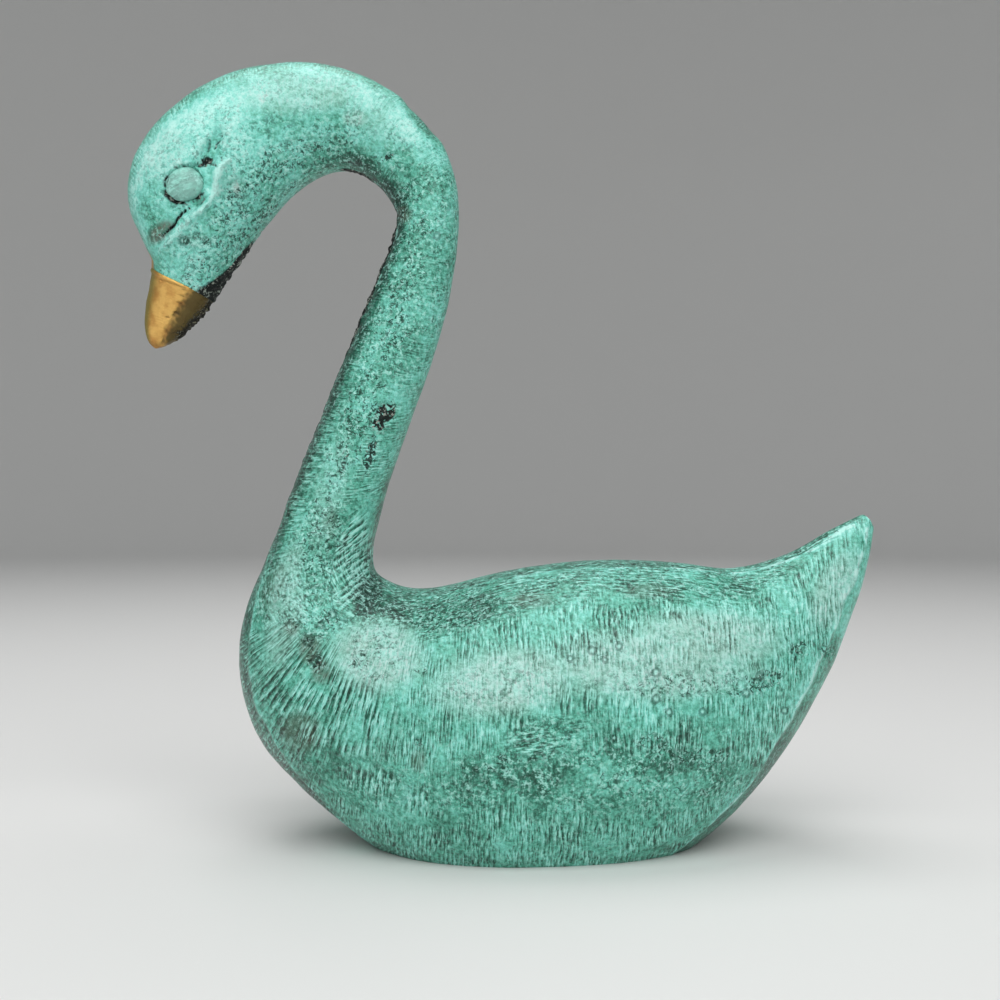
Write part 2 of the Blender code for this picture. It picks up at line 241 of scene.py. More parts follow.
rib_steps = np.linalg.norm(np.diff(RIBS[:, :4], axis=0), axis=1)
PLACES = np.concatenate([[0.0], np.cumsum(rib_steps)])
drawn = curve_through(RIBS, PLACES, np.linspace(0.0, PLACES[-1], 2000))
drawn_x = drawn[:, [0, 2]]
box = np.array(cad_high - cad_low) / MM
scale_x = box[0] / (drawn_x.max() - drawn_x.min())
scale_y = box[1] / 2 / drawn[:, 4].max()
scale_z = box[2] / drawn[:, [1, 3]].max()
middle_x = (drawn_x.max() + drawn_x.min()) / 2
RIB_SHIFT = np.array([middle_x, 0.0, middle_x, 0.0, 0.0])
RIB_SCALE = np.array([scale_x, scale_z, scale_x, scale_z, scale_y])


def ribs_at(places):
    """Ribs at places along the swan, in millimetres at its real size."""
    return (curve_through(RIBS, PLACES, places) - RIB_SHIFT) * RIB_SCALE


print("the rib line is", round(PLACES[-1]), "mm long, stretched by", np.round(RIB_SCALE[[0, 4, 1]], 3))

# %% [markdown]
# ## The smooth skin
# A place along the ribs and a turn round them give every point of the skin: an oval on each rib, closed in
# quickly at the tips of the tail and the beak. A formula is used instead of a fixed mesh because it can be
# asked for as many points as the marks need.

# %% Skin
RIB_NUMBERS = np.arange(len(RIBS))
TAIL_ROUND = 0.7                   # the tail tip is rounded over this length in millimetres
BEAK_ROUND = 1.2                   # and the beak tip over this one


def soft_step(low, high, value):
    """0 below low, 1 above high, smooth between; low above high turns it round."""
    share = np.clip((value - low) / (high - low), 0.0, 1.0)
    return share * share * (3.0 - 2.0 * share)


def hump(value, width):
    """1 where the value is 0, falling off smoothly to both sides."""
    return np.exp(-(value / width) ** 2)


def noise_at(points, size, seed=0.0):
    """Smooth noise from -1 to 1 at points, with lumps about one size across."""
    moved = points / size + seed
    return np.array([noise.noise(row) for row in moved.tolist()])


def skin(place, turn, inset=0.0):
    """Points in millimetres. A turn of 0 is the back line, pi the belly line; the left side is negative."""
    rib = ribs_at(place)
    belly = rib[:, 0:2]
    back = rib[:, 2:4]
    half = (back - belly) / 2
    depth = np.linalg.norm(half, axis=1)
    to_end = np.minimum(place / TAIL_ROUND, (PLACES[-1] - place) / BEAK_ROUND)
    shrink = np.sqrt(1.0 - (1.0 - np.clip(to_end, 0.0, 1.0)) ** 2)
    side = (belly + back) / 2 + half * (np.cos(turn) * shrink * (1.0 - inset / depth))[:, None]
    return np.column_stack([side[:, 0], (rib[:, 4] - inset) * np.sin(turn) * shrink, side[:, 1]])


def skin_normals(place, turn, step=0.02):
    """Outward normals of the smooth skin, from points a little way off."""
    along = skin(np.minimum(place + step, PLACES[-1]), turn) - skin(np.maximum(place - step, 0.0), turn)
    around = skin(place, turn + step) - skin(place, turn - step)
    normal = np.cross(around, along)
    return normal / np.maximum(np.linalg.norm(normal, axis=1), 1e-9)[:, None]


top_point = skin(np.linspace(0.0, PLACES[-1], 400), np.zeros(400))[:, 2].max()
print("the skin rises to", round(top_point, 1), "mm")

# %% [markdown]
# ## What the tools and the mould left
# Seen close, the skin is never smooth. Sand left pits in clusters, the file left flats and strokes, and the
# face is cut with a few grooves. Marks that the photograph shows are placed by the picture column and row
# where they are seen. A patch is an oval: column, row, half length and half height in pixels, turn in
# degrees, then its strength. The hidden side gets the same marks, moved a little so that it is no copy.

# %% Marks on the skin
PIT_PATCHES = (
    (386, 413, 13, 11, -30, 1.0), (378, 425, 8, 8, -50, 1.0), (370, 455, 7, 22, 15, 0.8),
    (343, 462, 6, 20, 12, 0.7), (309, 641, 8, 9, 0, 0.66), (315, 662, 9, 13, -25, 0.74),
    (291, 625, 8, 8, 0, 0.6), (328, 621, 16, 10, -30, 0.5), (421, 670, 8, 5, 0, 0.6),
    (360, 662, 14, 9, 0, 0.45), (764, 681, 24, 10, -20, 0.62), (798, 650, 12, 12, 0, 0.64),
    (826, 650, 9, 8, 0, 0.5), (653, 745, 22, 14, 0, 0.42), (700, 756, 34, 10, 0, 0.45),
    (503, 762, 9, 12, 0, 0.5), (205, 161, 10, 6, -20, 1.0), (388, 157, 8, 4, -25, 0.8),
    (402, 203, 9, 26, 15, 0.5), (312, 158, 26, 12, -20, 0.35), (186, 241, 6, 5, 0, 0.6),
    (207, 242, 5, 5, 0, 0.6), (280, 160, 40, 20, -35, 0.42), (235, 210, 40, 24, -45, 0.36),
    (418, 745, 7, 10, 0, 0.45), (368, 590, 11, 20, 10, 0.5), (690, 688, 96, 12, 0, 0.32),
    (455, 612, 56, 22, -8, 0.42), (395, 240, 14, 26, 15, 0.4), (530, 785, 50, 14, 0, 0.25),
    (255, 225, 40, 10, -45, 0.5), (322, 545, 24, 60, 15, 0.42), (358, 420, 20, 70, 18, 0.40),
    (395, 330, 20, 50, 15, 0.36), (415, 265, 18, 45, 8, 0.34),
)
GROOVES = (                  # depth in mm, half width in mm, then the column and row of each point
    (0.70, 0.32, (189, 208), (182, 213), (176, 220), (173, 226), (167, 231), (162, 236)),
    (0.45, 0.45, (194, 166), (200, 164), (206, 160), (212, 164), (217, 166)),
    (0.45, 0.35, (206, 153), (208, 146), (209, 137)),
    (0.45, 0.35, (213, 149), (217, 142), (222, 135)),
    (0.40, 0.40, (195, 206), (200, 204), (205, 199)),
    (0.30, 0.28, (375, 573), (383, 587), (399, 599), (420, 607), (446, 607)),
    (0.22, 0.25, (379, 572), (391, 585), (409, 594), (432, 598)),
    (0.25, 0.30, (345, 755), (362, 761), (380, 770), (400, 783), (418, 797)),
)
RIDGES = (                   # the same, standing proud: the brow and the cheek
    (0.75, 0.85, (229, 161), (220, 168), (216, 180), (214, 192), (209, 203), (200, 212)),
    (0.60, 0.85, (206, 205), (194, 215), (184, 226), (175, 236), (162, 249)),
    (0.30, 1.00, (178, 163), (192, 152), (206, 136)),
    (0.30, 0.45, (217, 146), (223, 139), (229, 131)),
)
HOLLOWS = (                  # soft hollows, with their depth in mm for a strength
    (210, 150, 25, 9, -57, 0.60), (424, 118, 26, 10, 47, 0.45),
    (208, 178, 16, 6, 80, 0.50), (165, 216, 22, 12, -45, 0.40),
)
BLISTERS = (                 # small rings where gas burst in the mould: column, row, radius in pixels
    (592, 651, 3.4), (619, 647, 2.8), (605, 660, 2.4), (570, 659, 2.4), (656, 673, 3.4), (656, 699, 3.4),
    (759, 676, 3.8), (783, 710, 2.8), (669, 712, 2.6), (702, 712, 3.0), (745, 693, 3.2), (614, 738, 2.6),
    (333, 614, 3.2), (321, 625, 3.0), (308, 641, 4.2), (184, 241, 3.6), (173, 199, 2.4), (437, 236, 3.0),
)
PALE_WEAR_AND_HIGHLIGHT_PATCHES = (            # pale and slightly pink: partly wear, partly painted highlight where the lamps shine on the flank, the crook and the crown
    (378, 655, 46, 38, 0, 1.0), (505, 682, 74, 34, -8, 1.0), (650, 665, 110, 36, 0, 0.9),
    (705, 640, 80, 30, 0, 0.9), (375, 112, 52, 24, 35, 0.35), (286, 585, 14, 46, 14, 0.6),
    (836, 590, 22, 44, 30, 0.8), (285, 625, 18, 50, 15, 0.5), (330, 490, 16, 60, 15, 0.3),
    (300, 92, 70, 22, 0, 0.6), (165, 155, 22, 34, 30, 0.4), (265, 98, 8, 7, 0, 1.0),
    (356, 118, 14, 9, 0, 0.8), (236, 187, 5, 6, 0, 1.0),
)
STAIN_PATCHES = (            # brown where the brass shows through
    (309, 648, 12, 17, 0, 1.0), (321, 671, 11, 14, 0, 1.0), (291, 627, 9, 9, 0, 0.8),
    (160, 232, 16, 9, -42, 1.3), (232, 186, 16, 16, 0, 0.35), (196, 241, 20, 8, 0, 0.4),
    (404, 214, 9, 9, 0, 1.0), (300, 732, 22, 22, 0, 0.8), (418, 760, 9, 12, 0, 0.7),
    (425, 92, 12, 8, 30, 0.5), (648, 592, 26, 8, 0, 0.6), (532, 600, 22, 9, 0, 0.6),
    (272, 590, 12, 26, 15, 0.5), (330, 522, 8, 20, 0, 0.5),
)
# painted shade: darker green where shade falls, in the corner where the neck meets the body, on the breast,
# low on the flank, along the back edge of the neck and under the head
PAINTED_SHADE_PATCHES = (           # darker green
    (272, 690, 36, 90, -12, 0.8), (310, 770, 60, 40, 35, 0.8), (470, 605, 70, 22, -10, 0.9),
    (640, 593, 60, 12, 0, 0.6), (395, 200, 18, 50, 10, 0.9), (262, 238, 62, 10, -45, 0.7),
    (660, 750, 80, 30, 0, 0.6), (520, 770, 60, 30, 0, 0.6), (600, 640, 16, 60, 0, 0.3),
    (368, 596, 16, 24, 20, 3.2), (392, 606, 24, 14, 20, 2.2), (384, 510, 9, 60, 17, 1.3),
    (300, 690, 50, 60, 20, 0.7),
)
print(len(PIT_PATCHES), "pitted patches,", len(GROOVES), "grooves,", len(PALE_WEAR_AND_HIGHLIGHT_PATCHES), "worn patches")

# %% [markdown]
# ## Reading the marks
# A mark could be painted on an image, but a table is easier to change and needs no file. Each kind has one
# small function that says, for every point of the skin, how much of the mark it gets.

# %% Reading the marks
PATCH_FADE = (1.25, 0.55)          # a patch is gone at the first share of its size, and whole at the second
LINE_END = 0.35                    # width of a groove at its ends, as a share of its middle
RING_REACH = 2.6                   # radii
FAR_SIDE_SHIFT = np.array([23.0, -9.0])      # pixels, so the far flank isn't an exact mirror image
SHIFT_REACH = 4.0                  # millimetres from the mid-plane to where all of it is reached
FACE_COLUMN = 260                  # left of this column and above this row is the face, alike on both sides
FACE_ROW = 310
FACE_FADE = 15                     # pixels to each side


def patches(seen, table):
    """How far inside any of the soft-edged patches each seen point lies, times its strength."""
    most = np.zeros(len(seen))
    for column, row, length, height, turn, strength in table:
        angle = math.radians(turn)
        across = seen - (column, row)
        first = (across[:, 0] * math.cos(angle) + across[:, 1] * math.sin(angle)) / length
        second = (across[:, 1] * math.cos(angle) - across[:, 0] * math.sin(angle)) / height
        most = np.maximum(most, strength * soft_step(*PATCH_FADE, np.hypot(first, second)))
    return most


def lines(seen, table):
    """Summed depth in millimetres of the grooves or ridges at each seen point."""
    deep = np.zeros(len(seen))
    for depth, half_width, *route in table:
        nearest = np.full(len(seen), np.inf)
        for i, (start, end) in enumerate(zip(np.array(route[:-1], float), np.array(route[1:], float))):
            step = end - start
            share = np.clip(((seen - start) @ step) / (step @ step), 0.0, 1.0)
            gap = np.linalg.norm(seen - start - share[:, None] * step, axis=1)
            run = np.clip((i + share) / (len(route) - 1), 0.04, 0.96)
            taper = LINE_END + (1.0 - LINE_END) * np.sin(math.pi * run)
            nearest = np.minimum(nearest, gap / PIXELS_PER_MM / half_width / taper)
        deep += depth * hump(nearest, 1.0)
    return deep


def rings(seen, table):
    """Offset from the nearest ring in its radii, and 1 where a ring is near."""
    offset = np.zeros((len(seen), 3))
    for column, row, radius in table:
        away = (seen - (column, row)) / radius
        near = np.linalg.norm(away, axis=1) < RING_REACH
        offset[near, :2] = away[near]
        offset[near, 2] = 1.0
    return offset


def sides(points, read, table):
    """A table of marks read on the near flank, and moved a little on the far one."""
    seen = seen_at(points)
    face = (soft_step(FACE_COLUMN + FACE_FADE, FACE_COLUMN - FACE_FADE, seen[:, 0])
            * soft_step(FACE_ROW + FACE_FADE, FACE_ROW - FACE_FADE, seen[:, 1]))
    share = soft_step(0.0, SHIFT_REACH, points[:, 1]) * (1.0 - face)
    return read(seen + share[:, None] * FAR_SIDE_SHIFT, table)


brow_groove = np.array(GROOVES[0][2:], float)
print("depth along the first groove:", np.round(lines(brow_groove, GROOVES[:1]), 2), "mm")

# %% [markdown]
# ## Which way the strokes run
# A brush was drawn round the form and a file was pushed across it. Three lengths say where a point lies
# among the strokes: how far along the ribs, how far from the back line, and the side. Noise that is
# stretched in these lengths makes strokes that bend with the body.

# %% Stroke directions
STROKE_WANDER = 0.35               # millimetres that a stroke strays from its line
UPRIGHT_RIB = 7                    # behind this rib the strokes stand upright and don't lean with the ribs
SLANT = 0.8                        # how steeply the strokes climb on the back of the neck
SLANT_REACH = 9.0                  # millimetres from the back line where they level out
SLANT_FROM = (11.2, 12.6)          # ribs between which the slant begins
SLANT_TO = (17.5, 16.0)            # and ends
FILED_PATCHES = (                  # filed across the other strokes: slope in degrees, evenness, the patch
    (38, 1.4, (354, 562, 24, 66, 9, 1.0)), (84, 1.1, (392, 792, 76, 26, 20, 1.0)),
)
FILED_STRETCH = 1.25               # the file's teeth are this much wider apart than the brush's bristles


def flow(place, turn, points):
    """Millimetres along the ribs and from the back line, and the side, for strokes that follow the form."""
    rib = ribs_at(place)
    number = np.interp(place, PLACES, RIB_NUMBERS)
    depth = np.hypot(rib[:, 2] - rib[:, 0], rib[:, 3] - rib[:, 1]) / 2
    around = np.abs(turn) * (depth + rib[:, 4]) / 2
    slanted = soft_step(*SLANT_FROM, number) * soft_step(*SLANT_TO, number)
    climb = SLANT * np.maximum(SLANT_REACH - around, 0.0) ** 2 / (2 * SLANT_REACH)
    upright = PLACES[UPRIGHT_RIB] - points[:, 0] + ribs_at(PLACES[[UPRIGHT_RIB]])[0, 0]
    along = np.where(number < UPRIGHT_RIB, upright, place) - slanted * climb
    along += STROKE_WANDER * noise_at(points, 5.0, seed=11.0)
    seen = seen_at(points)
    for slope, _, patch in FILED_PATCHES:
        angle = math.radians(slope)
        slanting = seen @ (math.sin(angle), math.cos(angle)) / PIXELS_PER_MM / FILED_STRETCH
        along = np.where(patches(seen, (patch,)) > 0.5, slanting, along)
    return np.column_stack([along, around, points[:, 1]])


test_place = np.linspace(0.0, PLACES[-1], 400)
test_turn = np.full(400, -1.5)
test_flow = flow(test_place, test_turn, skin(test_place, test_turn))
print("the strokes of the left flank are laid out over", round(np.ptp(test_flow[:, 0])), "mm")

# %% [markdown]
# ## Where the eyes sit
# Each eye is a small oval bead in a shallow socket, leaning up towards the back of the head. The bead's
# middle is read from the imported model; its outward direction is the skin's normal beside it. The same frame
# places the bead and sinks its socket, so that they stay together. Round the bead a dark crevice opens and
# closes.

# %% Eye places
EYE_LENGTH = 6.2
EYE_HEIGHT = 5.4
EYE_THICKNESS = 3.4
EYE_TILT = math.radians(20)
EYE_RIBS = (20, 23)                # the eye lies between these ribs
EYE_TURNS = (0.5, 2.5)             # and these turns
SOCKET_ROOM = 0.05                 # gap round the bead
CREVICE = (                        # angles round the eye from its tail side, and how open the crevice is
    (-180, -150, -120, -100, -90, -75, -55, -35, -10, 20, 35, 55, 75, 110, 140, 165, 180),
    (0.9, 1.0, 1.0, 0.8, 0.35, 0.85, 0.7, 0.15, 0.0, 0.05, 0.4, 0.5, 0.25, 0.1, 0.45, 0.6, 0.9),
)


def eye_frame(node, side, steps=200):
    """Middle, long way, short way and outward direction of an eye, in millimetres."""
    low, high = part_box(node)
    middle = np.array((low + high) / 2) / MM
    place, turn = np.meshgrid(np.linspace(*PLACES[list(EYE_RIBS)], steps), np.linspace(*EYE_TURNS, steps))
    place = place.ravel()
    turn = side * turn.ravel()
    nearest = np.linalg.norm(skin(place, turn) - middle, axis=1).argmin()
    outward = skin_normals(place[[nearest]], turn[[nearest]])[0]
    long_way = np.array([math.cos(EYE_TILT), 0.0, math.sin(EYE_TILT)])
    long_way -= outward * (long_way @ outward)
    long_way /= np.linalg.norm(long_way)
    return middle, long_way, -side * np.cross(outward, long_way), outward


EYES = {"left_eye": eye_frame("left_eye", -1.0), "right_eye": eye_frame("right_eye", 1.0)}


def eye_distance(points):
    """Distance from the nearer eye, as a share of its socket, and how open the crevice is on that side."""
    share = np.full(len(points), np.inf)
    crevice = np.zeros(len(points))
    for middle, long_way, up_way, _ in EYES.values():
        offset = points - middle
        first = (offset @ long_way) / (EYE_LENGTH / 2 + SOCKET_ROOM)
        second = (offset @ up_way) / (EYE_HEIGHT / 2 + SOCKET_ROOM)
        near = np.linalg.norm(offset, axis=1) < EYE_LENGTH
        share = np.where(near, np.hypot(first, second), share)
        crevice = np.where(near, np.interp(np.degrees(np.arctan2(second, first)), *CREVICE), crevice)
    return share, crevice


print("left eye at", np.round(EYES["left_eye"][0], 1), "mm")

# %% [markdown]
# ## Zones of the swan
# The hand changed its tools from place to place, and so does the finish. Each zone fades in between two
# ribs, or between two turns round a rib, so no zone has a hard border. The survey gathers all that the later
# steps ask about a point: where it lies in space, in the picture, among the strokes and in the zones.

# %% Zones
ALONG = {                    # the rib where a zone starts to fade in, and the rib where it is whole
    "body": (13.5, 11.5), "tail": (6.0, 5.0), "low_neck": (15.2, 13.8), "crown": (16.5, 18.0),
    "head": (18.0, 20.0), "face": (19.0, 20.5), "above_beak": (23.9, 23.2),
}
AROUND = {                   # the same for the turn from the back line
    "rim": (0.90, 0.60), "brow": (1.25, 0.95), "rear_edge": (1.45, 1.15), "cheek": (1.2, 1.5),
    "upper": (2.3, 1.8), "throat": (1.9, 2.8), "front_edge": (1.9, 2.3), "front": (2.1, 2.6),
    "culmen": (1.25, 0.65),
}


def survey(place, turn):
    """Where points of the skin lie, with their distances in millimetres."""
    rib = ribs_at(place)
    here = SimpleNamespace(smooth=skin(place, turn), from_back=np.abs(turn))
    here.seen = seen_at(here.smooth)
    here.number = np.interp(place, PLACES, RIB_NUMBERS)
    here.from_spine = here.from_back * rib[:, 4]
    here.from_belly = (math.pi - here.from_back) * rib[:, 4]
    half_depth = np.hypot(rib[:, 2] - rib[:, 0], rib[:, 3] - rib[:, 1]) / 2
    here.from_edge = half_depth * (1.0 + np.cos(turn))
    here.flow = flow(place, turn, here.smooth)
    here.zone = {name: soft_step(*limits, here.number) for name, limits in ALONG.items()}
    here.zone.update({name: soft_step(*limits, here.from_back) for name, limits in AROUND.items()})
    here.zone["neck"] = 1.0 - here.zone["body"] - here.zone["head"]
    return here


print(len(ALONG) + len(AROUND), "zones")

# %% [markdown]
# ## Filed strips and swellings
# The castings were filed down along the back and along the parting line of the mould, which leaves flat
# strips with a soft, wandering edge. The cast tail and throat came out a little fuller than drawn, and the
# face dips where the beak begins. A table of ribs and amounts describes each, because the eye can follow it.

# %% Filed strips and swellings
STRIP_DEPTH = 0.22                 # how far a strip was filed down, in mm
NARROW_STRIP = (0.2, 1.5)          # a strip fades away between these half widths
STRIP_BORDER = (0.4, -0.6)         # its border is soft from this far outside to this far inside
STRIP_EDGE = 0.07                  # how far the edge left beside it stands up
EDGE_PLACE = 0.3                   # how far outside that edge lies
EDGE_WIDTH = 0.45
EDGE_WANDER = 0.7                  # how far it strays
BACK_STRIP = ((0.0, 3.0, 5.0, 8.0, 10.0, 12.5), (0.5, 3.5, 6.0, 6.0, 4.0, 0.0))   # ribs, half widths in mm
BELLY_STRIP = (                    # ribs, and widths in mm along them
    (0.0, 1.0, 2.0, 3.0, 4.0, 5.0, 6.0, 8.2, 9.0, 10.0, 11.0, 12.0, 13.2),
    (0.9, 1.9, 3.8, 4.6, 4.8, 4.2, 0.0, 0.0, 3.2, 4.6, 4.4, 3.0, 0.0),
)
TAIL_SWELL = ((0.0, 4.0, 6.0), (0.35, 0.35, 0.0))   # ribs, and how much fuller the cast tail came out
THROAT_SWELL = ((22.8, 23.6, 24.2, 25.0, 26.0, 26.8), (0.0, 0.5, 1.0, 1.0, 0.6, 0.0))
THROAT_TURNS = (2.0, 2.7)
FACE_NOTCH = (                     # ribs, and how far the front of the face dips above the beak
    (22.9, 23.2, 23.5, 23.7, 23.87, 24.0, 24.3, 24.8),
    (0.0, 0.15, 0.6, 0.8, 1.1, 0.85, 0.35, 0.0),
)
NOTCH_TURNS = (1.4, 0.4)


def strip(points, number, from_line, table):
    """How far inside a filed strip a point lies, and how near the strip's edge, from 0 to 1."""
    half_width = np.interp(number, *table)
    wide = soft_step(*NARROW_STRIP, half_width)
    from_line = from_line + EDGE_WANDER * wide * noise_at(points, 5.0, seed=7.7)
    outside = from_line - half_width
    broken = soft_step(-0.5, 0.4, noise_at(points, 2.2, seed=1.9))
    return wide * soft_step(*STRIP_BORDER, outside), wide * broken * hump(outside - EDGE_PLACE, EDGE_WIDTH)


def swellings(here):
    """Swell of the throat and chin, and depth of the dip at the root of the beak, in millimetres."""
    throat = np.interp(here.number, *THROAT_SWELL) * soft_step(*THROAT_TURNS, here.from_back)
    notch = np.interp(here.number, *FACE_NOTCH) * soft_step(*NOTCH_TURNS, here.from_back)
    return throat, notch


print("the strip along the back is up to", 2 * max(BACK_STRIP[1]), "mm wide")

# %% [markdown]
# ## Where each tool worked
# The flank was stroked crosswise and the back lengthwise; the neck is stroked along its edges only, and the
# crown was rubbed. Between the strokes the grain of the mould is left. Some places were filed evenly, and
# some cut with short heavy strokes. Each is a mask on the points of the skin, from 0 to 1; the crosswise one
# goes above 1 where the strokes are even. Masks could be brushed on by hand, but sums can be read again.

# %% Tool masks
BACK_ZONE = ((400, 430, 520, 600, 740, 780, 860), (625, 640, 612, 594, 606, 582, 520))   # columns, rows
BACK_FADE = 10                     # pixels to each side of that line
BRUSHED_PATCH = ((548, 738, 46, 22, -12, 1.0),)    # stroked lengthwise, low on the flank
COMBED_PATCHES = ((680, 636, 150, 34, 0, 0.15), (840, 600, 30, 50, 30, 0.1))       # stroked more evenly
COARSE_PATCHES = (                 # cut with short heavy strokes
    (325, 705, 80, 64, 25, 1.0), (278, 592, 18, 54, 12, 0.9), (322, 470, 14, 84, 18, 0.6),
)
UNSTROKED_PATCHES = (              # here the grain of the mould was left between the strokes
    (690, 684, 110, 15, 0, 0.8), (600, 778, 190, 34, 0, 0.8), (440, 792, 90, 22, 0, 0.6),
    (318, 618, 26, 34, 15, 0.9), (372, 655, 34, 34, 0, 0.7), (500, 690, 60, 30, 0, 0.4),
)
READINGS = {                       # how each table of marks is read
    "pitted": (patches, PIT_PATCHES), "grooves": (lines, GROOVES), "ridges": (lines, RIDGES),
    "hollows": (patches, HOLLOWS), "blisters": (rings, BLISTERS), "bloom": (patches, PALE_WEAR_AND_HIGHLIGHT_PATCHES),
    "stain": (patches, STAIN_PATCHES), "shaded": (patches, PAINTED_SHADE_PATCHES),
    "brushed": (patches, BRUSHED_PATCH), "combed": (patches, COMBED_PATCHES),
    "heavy": (patches, COARSE_PATCHES), "unstroked": (patches, UNSTROKED_PATCHES),
}
HIGH_NECK_STROKES = 0.35           # share of the strokes that is left high on the neck
RIM_STROKES = 0.6                  # and over the crown
TAIL_STRIP_BARE = 0.8              # share of the strokes filed off with the strip under the tail
CROSS_HIDES = 0.65                 # share of the grain that strokes hide
LENGTH_HIDES = 0.2
RUBBED = {"sheen": 0.35, "crown_rim": 0.40, "forehead": 0.50}     # share of the grain taken away: under the painted highlight, and where the crown was rubbed
UPPER_RUBBED = 0.4
# painted highlight: where the pale band lies over the crown and the forehead
SHEEN = ((17.0, 19.0, 21.0, 22.0, 23.5), (1.0, 1.15, 1.05, 0.85, 0.7))   # ribs, turn of the pale band
SHEEN_WIDTH = 0.32                 # in turn


def tool_masks(here):
    """Every mark on the points, and where each tool worked."""
    zone = here.zone
    readings = {name: sides(here.smooth, *reading) for name, reading in READINGS.items()}
    marks = SimpleNamespace(**readings)
    marks.back_strip, back_edge = strip(here.smooth, here.number, here.from_spine, BACK_STRIP)
    marks.belly_strip, belly_edge = strip(here.smooth, here.number, here.from_edge, BELLY_STRIP)
    marks.strip_edges = back_edge + belly_edge
    marks.crown_rim = zone["crown"] * zone["rim"]
    marks.forehead = zone["face"] * zone["brow"]
    # painted highlight: a pale band along the crown and the forehead
    from_sheen = here.from_back - np.interp(here.number, *SHEEN)
    marks.sheen = zone["crown"] * zone["above_beak"] * hump(from_sheen, SHEEN_WIDTH)

    back_row = np.interp(here.seen[:, 0], *BACK_ZONE)
    on_back = zone["body"] * soft_step(back_row + BACK_FADE, back_row - BACK_FADE, here.seen[:, 1])
    marks.lengthwise = np.maximum(on_back, marks.brushed)
    neck_edges = zone["neck"] * np.maximum(zone["front_edge"], zone["rear_edge"])
    neck_edges *= HIGH_NECK_STROKES + (1.0 - HIGH_NECK_STROKES) * zone["low_neck"]
    flank = zone["body"] * (1.0 - marks.lengthwise) * (1.0 - marks.unstroked)
    crosswise = np.maximum(flank, neck_edges)
    stippled = np.clip(1.0 - CROSS_HIDES * crosswise - LENGTH_HIDES * marks.lengthwise, 0.0, 1.0)
    stippled *= 1.0 - np.maximum.reduce([share * getattr(marks, name) for name, share in RUBBED.items()])
    marks.stippled = stippled * (1.0 - UPPER_RUBBED * zone["crown"] * zone["upper"])

    crosswise = np.maximum(crosswise, RIM_STROKES * marks.crown_rim)
    crosswise *= 1.0 - TAIL_STRIP_BARE * marks.belly_strip * zone["tail"]
    for _, evenness, patch in FILED_PATCHES:
        filed = patches(here.seen, (patch,))
        crosswise = np.where(filed > 0.5, evenness, crosswise) * np.abs(2.0 * filed - 1.0)
    crosswise += zone["body"] * marks.combed
    marks.coarse = np.minimum(crosswise, 1.0) * marks.heavy
    marks.crosswise = crosswise * (1.0 - marks.coarse)
    return marks


test_survey = survey(test_place, test_turn)
test_marks = tool_masks(test_survey)
print("stroked crosswise along the left flank:", round(test_marks.crosswise.mean(), 2), "of its length")

# %% [markdown]
# ## The relief
# Now the heights are added up: slow lumps from the hand, strokes, filed strips, pits, grooves and ridges,
# the sockets of the eyes, and the rough seam of the mould along the inside of the neck and under the chin.
# They could be sculpted or painted; sums keep every height a number that can be changed.

# %% Relief
LUMPS = ((0.16, 9.0), (0.07, 3.5))           # height and size of the hand's unevenness, in mm
STROKE_HEIGHT = 0.05
STROKE_SIZE = (1.2, 6.0, 6.0)                # across the strokes, along them and through the body
PIT_DEPTH = 0.45
FLASH_HEIGHT = 0.35
FLASH_WIDTH = ((14.5, 15.0, 16.2, 17.0, 21.0, 22.5, 24.0), (1.5, 2.6, 2.6, 1.0, 1.0, 2.6, 4.6))
FLASH = (                                    # ribs, and how much of the mould's seam is left there
    (13.3, 14.0, 14.7, 15.0, 16.2, 16.8, 17.8, 18.2, 18.6, 19.0, 20.8, 21.4, 24.0),
    (0.0, 0.45, 0.55, 1.0, 1.0, 0.15, 0.15, 0.8, 0.8, 0.1, 0.1, 1.0, 1.0),
)
SOCKET_DEPTH = 2.4
LID_HEIGHT = 0.5                             # the skin laps up round the bead where no crevice is open
LID_WIDTH = 0.25                             # as a share of the socket
CREVICE_DEPTH = 0.45
CREVICE_WIDTH = 0.05                         # as a share of the socket, where it is shut
OPEN_WIDTH = 0.20                            # this much more where it is open
CREVICE_ROUGH = 0.6


def crust(points, least, size, fine_size):
    """Rough crust left by the sand, as a height from 0 to 1.6."""
    rough = noise_at(points, size, seed=5.1) + 0.8 * noise_at(points, fine_size, seed=2.2)
    return np.clip(least + rough, 0.0, 1.6)


def eye_marks(points):
    """How deep in a socket each point lies, and how much crevice or lid it gets."""
    eye, crevice = eye_distance(points)
    rough = noise_at(points, 1.1, seed=8.8) + noise_at(points, 0.5, seed=6.1)
    ragged = np.clip(crevice + CREVICE_ROUGH * rough, 0.0, 1.0)
    outside = soft_step(0.9, 1.0, eye)
    beyond = np.maximum(eye - 1.0, 0.0)
    socket = np.sqrt(np.clip(1.0 - eye ** 2, 0.0, 1.0))
    opened = outside * ragged * hump(beyond, CREVICE_WIDTH + OPEN_WIDTH * ragged)
    lid = outside * (1.0 - ragged) * hump(beyond, LID_WIDTH)
    return socket, opened, lid


